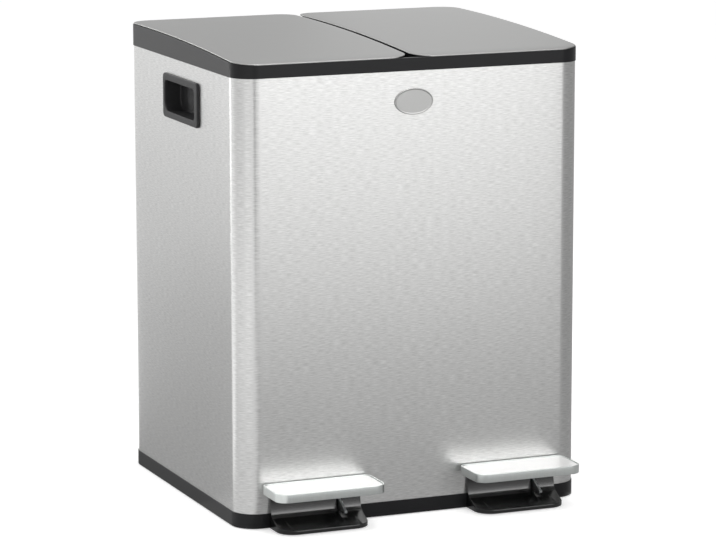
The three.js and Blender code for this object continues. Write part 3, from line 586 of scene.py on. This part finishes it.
# %% Make the handles
GRIP = {"length": 94 * MM, "height": 34 * MM, "undercut": 3.4 * MM}
GRIP_DEPTH = 19.5 * MM
GRIP_SHIFT_Y = 1.5 * MM
GRIP_SHIFT_Z = -0.2 * MM
GRIP_WALL = 2.2 * MM
POCKET_RADII = np.array([6, 12, 6, 6]) * MM
POCKET_EDGE = 2 * MM
BEZEL_RADIUS = 5.5 * MM
BEZEL_EDGE = 1.1 * MM


def handle(side):
    """Rings in planes across X, from the housing's back to the floor of the pocket."""
    low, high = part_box(f"{side}_handle")
    hand = 1 if side == "right" else -1
    face = max(abs(low.x), abs(high.x))
    mid_y = (low.y + high.y) / 2 + GRIP_SHIFT_Y
    mid_z = (low.z + high.z) / 2 + GRIP_SHIFT_Z
    y = (mid_y - GRIP["length"] / 2, mid_y + GRIP["length"] / 2)
    z = (mid_z - GRIP["height"] / 2, mid_z + GRIP["height"] / 2)

    def ring(kind, grow, x):
        if kind == "bezel":
            points = outline(low.y - grow, high.y + grow, low.z - grow, high.z + grow,
                             np.full(4, BEZEL_RADIUS) + grow, arc=10)
        else:
            roof = z[1] + (GRIP["undercut"] if kind == "pocket" else 0)
            points = outline(y[0] - grow, y[1] + grow, z[0] - grow, roof + grow,
                             POCKET_RADII + grow, arc=10)
        return np.column_stack([np.full(len(points), hand * x), points])

    floor = face - GRIP_DEPTH
    back = floor - GRIP_WALL
    rings = [ring("pocket", GRIP_WALL - POCKET_EDGE, back),
             ring("pocket", GRIP_WALL, back + POCKET_EDGE),
             ring("pocket", GRIP_WALL, HALF_X), ring("bezel", 0, HALF_X)]
    turns = np.linspace(0, pi / 2, 6)
    rings += [ring("bezel", -BEZEL_EDGE * (1 - cos(t)), face - BEZEL_EDGE * (1 - sin(t)))
              for t in turns]
    rings += [ring("lip", BEZEL_EDGE * (1 - sin(t)), face - BEZEL_EDGE * (1 - cos(t)))
              for t in turns]
    rings += [ring("lip", 0, HALF_X - MM), ring("pocket", 0, HALF_X - MM)]
    rings += [ring("pocket", -POCKET_EDGE * (1 - cos(t)), floor + POCKET_EDGE * (1 - sin(t)))
              for t in turns]
    return tidy(from_rings(f"{side}_grip", rings), sharp=50)


for side in SIDES:
    stands_for(handle(side), f"{side}_handle")

# %% [markdown]
# ## Badge
# A small oval dish of satin steel with a raised rim. Its face is left plain. Ellipses that shrink
# inwards give the rounded rim and the step down to the dish.

# %% Make the badge
BADGE_RIM = 1.4 * MM
BADGE_EDGE = 0.6 * MM
BADGE_DISH = 0.45 * MM


def badge():
    """Ellipses (a - i) cos t, (b - i) sin t at the depths of a dish with a rounded rim."""
    low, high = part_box("badge")
    a, b = (high.x - low.x) / 2, (high.z - low.z) / 2
    mid_z = (high.z + low.z) / 2
    turn = np.linspace(0, 2 * pi, 72, endpoint=False)

    def ring(inset, y):
        return np.column_stack([(a - inset) * np.cos(turn), np.full(len(turn), y),
                                mid_z + (b - inset) * np.sin(turn)])

    rings = [ring(0, high.y)]
    rings += [ring(BADGE_EDGE * (1 - cos(t)), low.y + BADGE_EDGE * (1 - sin(t)))
              for t in np.linspace(0, pi / 2, 5)]
    rings += [ring(BADGE_RIM - BADGE_EDGE, low.y), ring(BADGE_RIM, low.y + BADGE_DISH),
              ring(BADGE_RIM + BADGE_EDGE, low.y + BADGE_DISH)]
    return tidy(from_rings("oval_badge", rings), sharp=40)


stands_for(badge(), "badge")

# %% [markdown]
# ## Buckets
# Two injection-moulded tubs, tapered so that they leave the mould and lift out. The wall turns
# out into a flat rim and down again. One run of outlines goes up the outside, round the rim and
# down the inside. Two ears rise from the rim, with a bore through both for the wire bail.

# %% Make the tubs
BUCKET_RADIUS = 24.5 * MM
BUCKET_WALL = 2 * MM
BUCKET_TOP = BASE_Z + 470 * MM
TAPER = 6 * MM
RIM_REACH = 4 * MM
RIM_TURN = 8 * MM
TUB_FOOT = 5 * MM
TUB_EDGE = 0.8 * MM


def tub(side):
    """Rings at (inset, z), with the taper as an inset that grows towards the floor."""
    low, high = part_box(f"{side}_bucket")
    top, bottom = BUCKET_TOP, low.z

    def ring(inset, z):
        radius = np.full(4, BUCKET_RADIUS - inset)
        return level(outline(low.x + inset, high.x - inset, low.y + inset, high.y - inset, radius,
                             arc=12), z)

    def wall(inset, z):
        return ring(inset + TAPER * (top - z) / (top - bottom), z)

    turns = np.linspace(0, pi / 2, 5)
    inner = RIM_REACH + BUCKET_WALL
    rings = [wall(RIM_REACH + TUB_FOOT * (1 - sin(t)), bottom + TUB_FOOT * (1 - cos(t)))
             for t in turns]
    rings += [wall(RIM_REACH, top - 2 * BUCKET_WALL), ring(BUCKET_WALL, top - BUCKET_WALL),
              ring(BUCKET_WALL, top - RIM_TURN), ring(0, top - RIM_TURN)]
    rings += [ring(TUB_EDGE * (1 - cos(t)), top - TUB_EDGE * (1 - sin(t))) for t in turns]
    rings += [wall(inner - TUB_EDGE * (1 - sin(t)), top - TUB_EDGE * (1 - cos(t)))
              for t in turns]
    floor = bottom + BUCKET_WALL
    rings += [wall(inner + TUB_FOOT * (1 - cos(t)), floor + TUB_FOOT * (1 - sin(t)))
              for t in turns]
    return tidy(from_rings(f"{side}_tub", rings), sharp=45)


# %% Add the ears and make the buckets
BAIL_EYE = 7 * MM
EAR_HALF = 6 * MM
BORE_RADIUS = 2.3 * MM
BORE_POINTS = 20


def bucket(side):
    """The tub, with an ear at each end of the bail's axis and the bore through both ears."""
    low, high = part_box(f"{side}_bucket")
    bail_low, bail_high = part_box(f"{side}_bucket_bail")
    axis_y = bail_low.y + BAIL_EYE / 2
    axis_z = (bail_low.z + bail_high.z) / 2
    form = tub(side)
    for x0, x1 in ((low.x, low.x + RIM_REACH), (high.x - RIM_REACH, high.x)):
        ear = box_object("ear", (x0, axis_y - EAR_HALF, BUCKET_TOP - RIM_TURN),
                         (x1, axis_y + EAR_HALF, high.z))
        cut(form, ear, "UNION")
    turn = np.linspace(0, 2 * pi, BORE_POINTS, endpoint=False)
    bore = [np.column_stack([np.full(BORE_POINTS, x), axis_y + BORE_RADIUS * np.cos(turn),
                             axis_z + BORE_RADIUS * np.sin(turn)])
            for x in (low.x - MM, high.x + MM)]
    cut(form, tidy(from_rings("bore", bore), sharp=40))
    return tidy(form, sharp=45, recalculate=False)


for side in SIDES:
    stands_for(bucket(side), f"{side}_bucket")

# %% [markdown]
# ## Materials
# Each finish is a small tree of nodes: a pattern at the real finish's scale gives the tone, the
# roughness and a fine relief together, as one cause does on the real surface. Colours are
# written as sRGB and turned to the linear values that the renderer works in.

# %% Colours
def srgb(code):
    """'#rrggbb' to linear: v / 12.92 below 0.04045, else ((v + 0.055) / 1.055) ** 2.4."""
    value = np.array([int(code[i:i + 2], 16) for i in (1, 3, 5)]) / 255
    linear = np.where(value <= 0.04045, value / 12.92, ((value + 0.055) / 1.055) ** 2.4)
    return (*linear.tolist(), 1.0)


print("the sRGB grey #808080 is", round(srgb("#808080")[0], 3), "in linear light")


# %% Nodes
def add(tree, kind, settings=None, inputs=None):
    """Adds one node. An input that is a socket is linked, and any other value is set."""
    node = tree.nodes.new(kind)
    for key, value in (settings or {}).items():
        setattr(node, key, value)
    for key, value in (inputs or {}).items():
        socket = node.inputs[key]
        if isinstance(value, bpy.types.NodeSocket):
            tree.links.new(value, socket)
        else:
            socket.default_value = value
    return node


def new_material(name):
    """An empty node tree in a material that is named for its real finish."""
    material = bpy.data.materials.new(name)
    material.use_nodes = True
    material.node_tree.nodes.clear()
    print("material:", name)
    return material, material.node_tree


def surface(tree, shader):
    """Sends a shader to the tree's output."""
    add(tree, "ShaderNodeOutputMaterial", inputs={"Surface": shader.outputs[0]})


# %% [markdown]
# ### Brushed stainless steel
# The sheet is ground along its length with an abrasive belt before it is bent, so the scratches
# run level round the whole body. Light is spread mostly up and down, across the scratches. The
# shader's anisotropy does that: its tangent runs along the sheet, and a quarter turn makes the
# light spread across it. The scratches are a few hundredths of a millimetre apart, too fine to
# show, so they are drawn 0.8 mm apart and 9 mm long.

# %% Brushed stainless steel
SCRATCH_LENGTH = 9 * MM
SCRATCH_GAP = 0.8 * MM
SHEET_ROUGHNESS = (0.28, 0.3)
SHEET_CLOUDING = 0.015


def brushed_stainless():
    """A level scratch pattern on the UV map gives tone, roughness and relief."""
    material, tree = new_material("brushed stainless sheet")
    place = add(tree, "ShaderNodeUVMap", {"uv_map": "around"})
    stretch = add(tree, "ShaderNodeMapping", inputs={
        "Vector": place.outputs[0], "Scale": (1 / SCRATCH_LENGTH, 1 / SCRATCH_GAP, 1)})
    scratches = add(tree, "ShaderNodeTexNoise", {"noise_dimensions": "2D"}, {
        "Vector": stretch.outputs[0], "Scale": 1.0, "Detail": 3.0, "Roughness": 0.6})
    broad = add(tree, "ShaderNodeTexNoise", {"noise_dimensions": "2D"}, {
        "Vector": place.outputs[0], "Scale": 14.0, "Detail": 1.0})
    tone = add(tree, "ShaderNodeMix", {"data_type": "RGBA"}, {
        "Factor": scratches.outputs["Fac"], "A": srgb("#aaaaa9"), "B": srgb("#eaeae9")})
    rough = add(tree, "ShaderNodeMapRange", inputs={
        "Value": scratches.outputs["Fac"], "From Min": 0.25, "From Max": 0.75,
        "To Min": SHEET_ROUGHNESS[0], "To Max": SHEET_ROUGHNESS[1]})
    uneven = add(tree, "ShaderNodeMath", {"operation": "MULTIPLY_ADD"}, {
        0: broad.outputs["Fac"], 1: SHEET_CLOUDING, 2: rough.outputs[0]})
    relief = add(tree, "ShaderNodeBump", inputs={
        "Height": scratches.outputs["Fac"], "Strength": 0.02, "Distance": 0.05 * MM})
    along = add(tree, "ShaderNodeTangent", {"direction_type": "UV_MAP", "uv_map": "around"})
    steel = add(tree, "ShaderNodeBsdfPrincipled", inputs={
        "Base Color": tone.outputs["Result"], "Metallic": 1.0, "Roughness": uneven.outputs[0],
        "Anisotropic": 0.5, "Anisotropic Rotation": 0.25, "Normal": relief.outputs[0],
        "Tangent": along.outputs[0]})
    surface(tree, steel)
    return material


# %% [markdown]
# ### Satin and polished steel
# The lid skins and the badge are ground finely before pressing, which leaves an even grey sheen. On
# the lid skins that grey is darker than the body: partly their own finish, partly painted shade for
# the darker room behind, which they mirror.
# The bands of the pedals are polished and keep a faint grain. The treads are finely rubbed plates
# that catch the light from above and look white, so they are drawn pale and with little metal.

# %% Ground and polished steels
def ground_steel(name, dark, light, roughness, grain, relief_strength=0.04, metallic=1.0):
    """Steel whose grain is a noise stretched along one axis: grain gives its spacing in x, y, z."""
    material, tree = new_material(name)
    place = add(tree, "ShaderNodeTexCoord")
    stretch = add(tree, "ShaderNodeMapping", inputs={
        "Vector": place.outputs["Object"], "Scale": tuple(1 / g for g in grain)})
    scratches = add(tree, "ShaderNodeTexNoise", inputs={
        "Vector": stretch.outputs[0], "Scale": 1.0, "Detail": 2.0, "Roughness": 0.55})
    tone = add(tree, "ShaderNodeMix", {"data_type": "RGBA"}, {
        "Factor": scratches.outputs["Fac"], "A": srgb(dark), "B": srgb(light)})
    rough = add(tree, "ShaderNodeMapRange", inputs={
        "Value": scratches.outputs["Fac"], "From Min": 0.25, "From Max": 0.75,
        "To Min": roughness[0], "To Max": roughness[1]})
    relief = add(tree, "ShaderNodeBump", inputs={
        "Height": scratches.outputs["Fac"], "Strength": relief_strength, "Distance": 0.3 * MM})
    steel = add(tree, "ShaderNodeBsdfPrincipled", inputs={
        "Base Color": tone.outputs["Result"], "Metallic": metallic, "Roughness": rough.outputs[0],
        "Normal": relief.outputs[0]})
    surface(tree, steel)
    return material


# %% [markdown]
# ### Plastics and rubber
# The mouldings are black ABS and polypropylene, and the buffers and feet are rubber. The moulds
# have a fine spark texture a tenth of a millimetre across; it is drawn four to six times as
# coarse. The shrouds come from a polished mould, which leaves only a faint waviness. A Bevel node
# softens the light on edges that the moulds leave with a radius of half a millimetre.

# %% Plastics and rubber
MOULD_EDGE = 0.5 * MM


def plastic(name, dark, light, roughness, texture, relief_strength, specular=0.5):
    """Fine grains of the texture's size give roughness and relief, and broad clouds the tone."""
    material, tree = new_material(name)
    place = add(tree, "ShaderNodeTexCoord")
    spark = add(tree, "ShaderNodeTexNoise", inputs={
        "Vector": place.outputs["Object"], "Scale": 1 / texture, "Detail": 2.0, "Roughness": 0.6})
    cloud = add(tree, "ShaderNodeTexNoise", inputs={
        "Vector": place.outputs["Object"], "Scale": 22.0, "Detail": 2.0})
    tone = add(tree, "ShaderNodeMix", {"data_type": "RGBA"}, {
        "Factor": cloud.outputs["Fac"], "A": srgb(dark), "B": srgb(light)})
    rough = add(tree, "ShaderNodeMapRange", inputs={
        "Value": spark.outputs["Fac"], "From Min": 0.3, "From Max": 0.7,
        "To Min": roughness[0], "To Max": roughness[1]})
    soft = add(tree, "ShaderNodeBevel", {"samples": 4}, {"Radius": MOULD_EDGE})
    relief = add(tree, "ShaderNodeBump", inputs={
        "Height": spark.outputs["Fac"], "Strength": relief_strength, "Distance": 0.2 * MM,
        "Normal": soft.outputs[0]})
    shell = add(tree, "ShaderNodeBsdfPrincipled", inputs={
        "Base Color": tone.outputs["Result"], "Roughness": rough.outputs[0], "IOR": 1.5,
        "Specular IOR Level": specular, "Normal": relief.outputs[0]})
    surface(tree, shell)
    return material


# %% [markdown]
# ### The finishes of this bin
# Each gets its dark and light tone, its roughness and the size of its grain. The lid skins have
# a long grain that only just shows. Zinc plating on the inner metal is a dull grey with a soft
# sheen. Polypropylene is waxier than ABS, so its shine is wider, and rubber has almost none. The
# grips are drawn rougher and a little greyer than the collar, so the floor of the pocket shows
# lighter.

# %% The finishes, by material slot and for single pieces
FINISHES = {
    "brushed_stainless": brushed_stainless(),
    # The lid skins' dark grey is partly painted shade, for the darker surroundings that they
    # mirror.
    "satin_stainless": ground_steel("satin stainless skin with painted shade", "#969695", "#a4a4a3", (0.36, 0.44),
                                    (24 * MM, 1.1 * MM, 24 * MM)),
    "polished_stainless": ground_steel("polished stainless", "#d4d8d6", "#e4e8e6", (0.28, 0.34),
                                       (0.8 * MM, 0.8 * MM, 12 * MM), 0.02),
    "zinc_steel": ground_steel("zinc plated steel", "#a3a6a7", "#c6c9c9", (0.3, 0.42),
                               (3 * MM, 3 * MM, 3 * MM), 0.05),
    "satin_black_plastic": plastic("satin black ABS", "#171718", "#1c1c1e", (0.28, 0.36),
                                   0.4 * MM, 0.12, specular=0.22),
    "gloss_black_plastic": plastic("polished black ABS", "#080808", "#0b0b0c", (0.2, 0.24),
                                   1.2 * MM, 0.01, specular=0.7),
    "bucket_black_plastic": plastic("black polypropylene", "#1b1c1e", "#222325", (0.42, 0.55),
                                    0.5 * MM, 0.15),
    "black_rubber": plastic("moulded rubber", "#131313", "#1a1a1a", (0.7, 0.85), 0.6 * MM, 0.2,
                            specular=0.35),
}
TREAD_FINISH = ground_steel("satin tread plate", "#f6f6f5", "#fcfcfb", (0.3, 0.38),
                            (0.9 * MM, 16 * MM, 0.9 * MM), 0.03, metallic=0.25)
GRIP_FINISH = plastic("textured grip ABS", "#29292a", "#2f2f30", (0.42, 0.52), 0.5 * MM, 0.2,
                      specular=0.2)
BADGE_FINISH = ground_steel("pressed badge steel", "#a6a6a5", "#b2b2b1", (0.34, 0.42),
                            (1 * MM, 1 * MM, 1 * MM), 0.05)

# %% Give every piece and node its material
OWN_FINISH = {"oval_badge": BADGE_FINISH}
for side in SIDES:
    OWN_FINISH[f"{side}_tread_plate"] = TREAD_FINISH
    OWN_FINISH[f"{side}_grip"] = GRIP_FINISH
for node, obj in frame["nodes"].items():
    obj.data.materials.clear()
    obj.data.materials.append(FINISHES[SLOT_OF[node]])
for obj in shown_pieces():
    if "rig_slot" in obj:
        obj.data.materials.clear()
        obj.data.materials.append(OWN_FINISH.get(obj.name, FINISHES[obj["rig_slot"]]))
print("pieces with a finish of their own:", ", ".join(OWN_FINISH))

# %% [markdown]
# ## Floor, light and camera
# A white studio. The floor is pale and keeps a soft shadow; rays from the camera, and those that
# the steel mirrors, see it a little lighter, so that it meets the white surroundings. The world
# is white to the same rays, and lights the object from all round at a lower level.

# %% Floor and world
FLOOR_LIFT = 0.44
FLOOR_REACH = 30.0
FILL = 0.62


def seen_directly(tree):
    """One where a ray comes from the camera, a mirror or a glass, and nought elsewhere."""
    path = add(tree, "ShaderNodeLightPath")
    either = add(tree, "ShaderNodeMath", {"operation": "MAXIMUM"}, {
        0: path.outputs["Is Camera Ray"], 1: path.outputs["Is Glossy Ray"]})
    return add(tree, "ShaderNodeMath", {"operation": "MAXIMUM"}, {
        0: either.outputs[0], 1: path.outputs["Is Transmission Ray"]}).outputs[0]


def studio_floor():
    """A square of pale paper, with its lift added as light of its own for mirrored rays."""
    corners = [(x * FLOOR_REACH, y * FLOOR_REACH, 0)
               for x, y in ((-1, -1), (1, -1), (1, 1), (-1, 1))]
    mesh = bpy.data.meshes.new("floor")
    mesh.from_pydata(corners, [], [(0, 1, 2, 3)])
    floor = new_object("floor", mesh)
    material, tree = new_material("pale floor")
    lift = add(tree, "ShaderNodeMath", {"operation": "MULTIPLY"}, {
        0: seen_directly(tree), 1: FLOOR_LIFT})
    paper = add(tree, "ShaderNodeBsdfPrincipled", inputs={
        "Base Color": (0.9, 0.9, 0.9, 1), "Roughness": 0.9, "Specular IOR Level": 0.1,
        "Emission Color": (1, 1, 1, 1), "Emission Strength": lift.outputs[0]})
    surface(tree, paper)
    floor.data.materials.append(material)


def studio_world():
    """Mixes a fill and plain white by the kind of ray."""
    world = bpy.data.worlds.new("studio")
    world.use_nodes = True
    tree = world.node_tree
    tree.nodes.clear()
    fill = add(tree, "ShaderNodeBackground", inputs={"Color": (1, 1, 1, 1), "Strength": FILL})
    white = add(tree, "ShaderNodeBackground", inputs={"Color": (1, 1, 1, 1), "Strength": 1.0})
    both = add(tree, "ShaderNodeMixShader", inputs={
        0: seen_directly(tree), 1: fill.outputs[0], 2: white.outputs[0]})
    add(tree, "ShaderNodeOutputWorld", inputs={"Surface": both.outputs[0]})
    bpy.context.scene.world = world


studio_floor()
studio_world()
print("world fill:", FILL)

# %% [markdown]
# ### Lamps
# Steel is lit by what it mirrors. The camera sees the front panel mirror what stands in front and
# to the right, and the side panel what stands behind and to the left, so a softbox is put in each
# of these places, near and high: its image is strong at the top of the panel and fades downwards.
# The low softbox stands far in front, and with the pedal softbox above it whitens the treads and
# their image in the panel. The left softbox and the strip lamp draw the light lines of the near
# corner, and the top softbox lights the lids.

# %% Lamps
def softbox(name, place, target, size, power):
    """A rectangular area lamp of size in metres and power in watts, turned to its target."""
    lamp = bpy.data.lights.new(name, "AREA")
    lamp.shape = "RECTANGLE"
    lamp.size, lamp.size_y = size
    lamp.energy = power
    obj = bpy.data.objects.new(name, lamp)
    bpy.context.scene.collection.objects.link(obj)
    aim = Vector(target) - Vector(place)
    obj.location = place
    obj.rotation_euler = aim.to_track_quat("-Z", "Y").to_euler()
    obj.visible_camera = False
    print(f"{name}: {power} W, {aim.length:.2f} m from its target")


softbox("front softbox", (0.5, -1.25, 1.0), (0, -0.17, 0.4), (0.9, 0.35), 1.6)
softbox("low softbox", (1.15, -2.95, 0.98), (0, -0.2, 0.1), (1.2, 0.4), 10.0)
softbox("rear softbox", (-0.62, 1.1, 1.05), (-0.2, 0.05, 0.4), (0.7, 0.35), 2.6)
softbox("left softbox", (-1.6, -0.6, 1.25), (-0.2, -0.15, 0.3), (1.4, 0.8), 3.2)
softbox("top softbox", (0.1, -0.5, 2.4), (0, -0.1, 0.2), (2.0, 2.0), 11.0)
softbox("pedal softbox", (0, -0.45, 1.6), (0, -0.2, 0.05), (0.5, 0.1), 3.0)
softbox("strip lamp", (-1.12, 1.16, 0.75), (-0.2, -0.15, 0.4), (0.1, 1.4), 3.0)


# %% [markdown]
# ### Grey cards and cloths
# A white room alone would leave the steel white. The greys of the real panels come from what they
# mirror, so cards stand round the bin and cloths lie on the floor, each as grey as the panel needs
# to be there. Only mirrored rays meet them, so they cast no shadow and the floor stays white.

# %% Cards and cloths
CLOTH_Z = 1 * MM


def grey_card(name, corners, grey):
    """One flat sheet with four corners that gives off a plain grey to mirrored rays."""
    mesh = bpy.data.meshes.new(name)
    mesh.from_pydata(corners, [], [(0, 1, 2, 3)])
    card = new_object(name, mesh)
    material, tree = new_material(name)
    surface(tree, add(tree, "ShaderNodeEmission", inputs={"Color": (grey, grey, grey, 1)}))
    mesh.materials.append(material)
    card.visible_camera = card.visible_diffuse = card.visible_shadow = False


def standing_card(name, start, end, low, high, grey):
    """An upright card over the line from start to end, between two heights."""
    grey_card(name, [(*start, low), (*end, low), (*end, high), (*start, high)], grey)


def floor_cloth(name, plan_corners, grey):
    """A cloth that lies just over the floor."""
    grey_card(name, [(x, y, CLOTH_Z) for x, y in plan_corners], grey)


# Beside the far right corner, which it gives a dark edge.
standing_card("right_card", (0.62, -0.9), (0.62, 0.6), 0, 1.1, 0.42)
# A narrow one in front on the left, for the dark line in the near corner.
standing_card("front_card", (-0.5, -1.65), (-0.27, -1.65), 0, 1.6, 0.2)
# The floor in front and on the right, which the front panel mirrors.
floor_cloth("front_cloth", [(-0.2, -0.15), (0.24, -0.15), (0.85, -1.35), (-0.15, -1.35)], 0.36)
floor_cloth("right_cloth", [(0.2, -0.3), (0.62, -0.9), (0.62, 0.6), (0.2, 0.2)], 0.42)
# The floor far behind, which the top of the side panel mirrors.
floor_cloth("far_cloth", [(-0.55, 1.5), (-0.9, 3.2), (-2.1, 2.4), (-1.05, 1.1)], 0.65)
# The left, for the near corner.
floor_cloth("left_cloth", [(-0.2, -0.15), (-0.2, -0.02), (-1.2, 0.3), (-0.15, -1.35)], 0.85)
standing_card("left_card", (-2.4, 0.7), (-2.4, -1.8), 0, 2.2, 0.7)
# The floor close behind on the left, for the foot of the side panel.
floor_cloth("rear_cloth", [(-0.19, -0.15), (-0.19, 0.2), (-0.55, 1.5), (-1.05, 1.1)], 0.42)
# Behind the bin, for the left lid, which is darker than the right one.
standing_card("back_card", (-0.1, 1.5), (0.56, 1.5), 0.5, 1.6, 0.72)

# %% [markdown]
# ### Camera
# The photograph's own view: the focal length, the turn and the distance were solved from the
# edges of the body in the picture. The roll is tiny, but it is there.

# %% Camera
PHOTO = {"width": 716, "height": 540}
FOCAL_PIXELS = 3555.79
CENTRE_PIXEL = (359.296, 263.344)
AZIMUTH, ELEVATION, ROLL = radians(-22.6013), radians(10.4164), radians(-0.0512)
TARGET = Vector((0, MID_Y - 24.747 * MM, BASE_Z + 249.774 * MM))
DISTANCE = 3954.62 * MM


def studio_camera():
    """Looks at TARGET from AZIMUTH and ELEVATION; its axes are the columns of its matrix."""
    data = bpy.data.cameras.new("camera")
    data.sensor_width = 36
    data.lens = FOCAL_PIXELS / PHOTO["width"] * data.sensor_width
    data.shift_x = (PHOTO["width"] / 2 - CENTRE_PIXEL[0]) / PHOTO["width"]
    data.shift_y = (CENTRE_PIXEL[1] - PHOTO["height"] / 2) / PHOTO["width"]
    data.clip_end = 100
    back = Vector((sin(AZIMUTH) * cos(ELEVATION), -cos(AZIMUTH) * cos(ELEVATION), sin(ELEVATION)))
    right = (-back).cross(Vector((0, 0, 1))).normalized()
    up = right.cross(-back)
    right, up = right * cos(ROLL) + up * sin(ROLL), up * cos(ROLL) - right * sin(ROLL)
    camera = bpy.data.objects.new("camera", data)
    bpy.context.scene.collection.objects.link(camera)
    turn = Matrix((right, up, back)).transposed().to_4x4()
    camera.matrix_world = Matrix.Translation(TARGET + back * DISTANCE) @ turn
    bpy.context.scene.camera = camera
    print(f"camera: {data.lens:.1f} mm lens, {DISTANCE:.2f} m away")


studio_camera()
bpy.context.scene.view_settings.view_transform = "Standard"
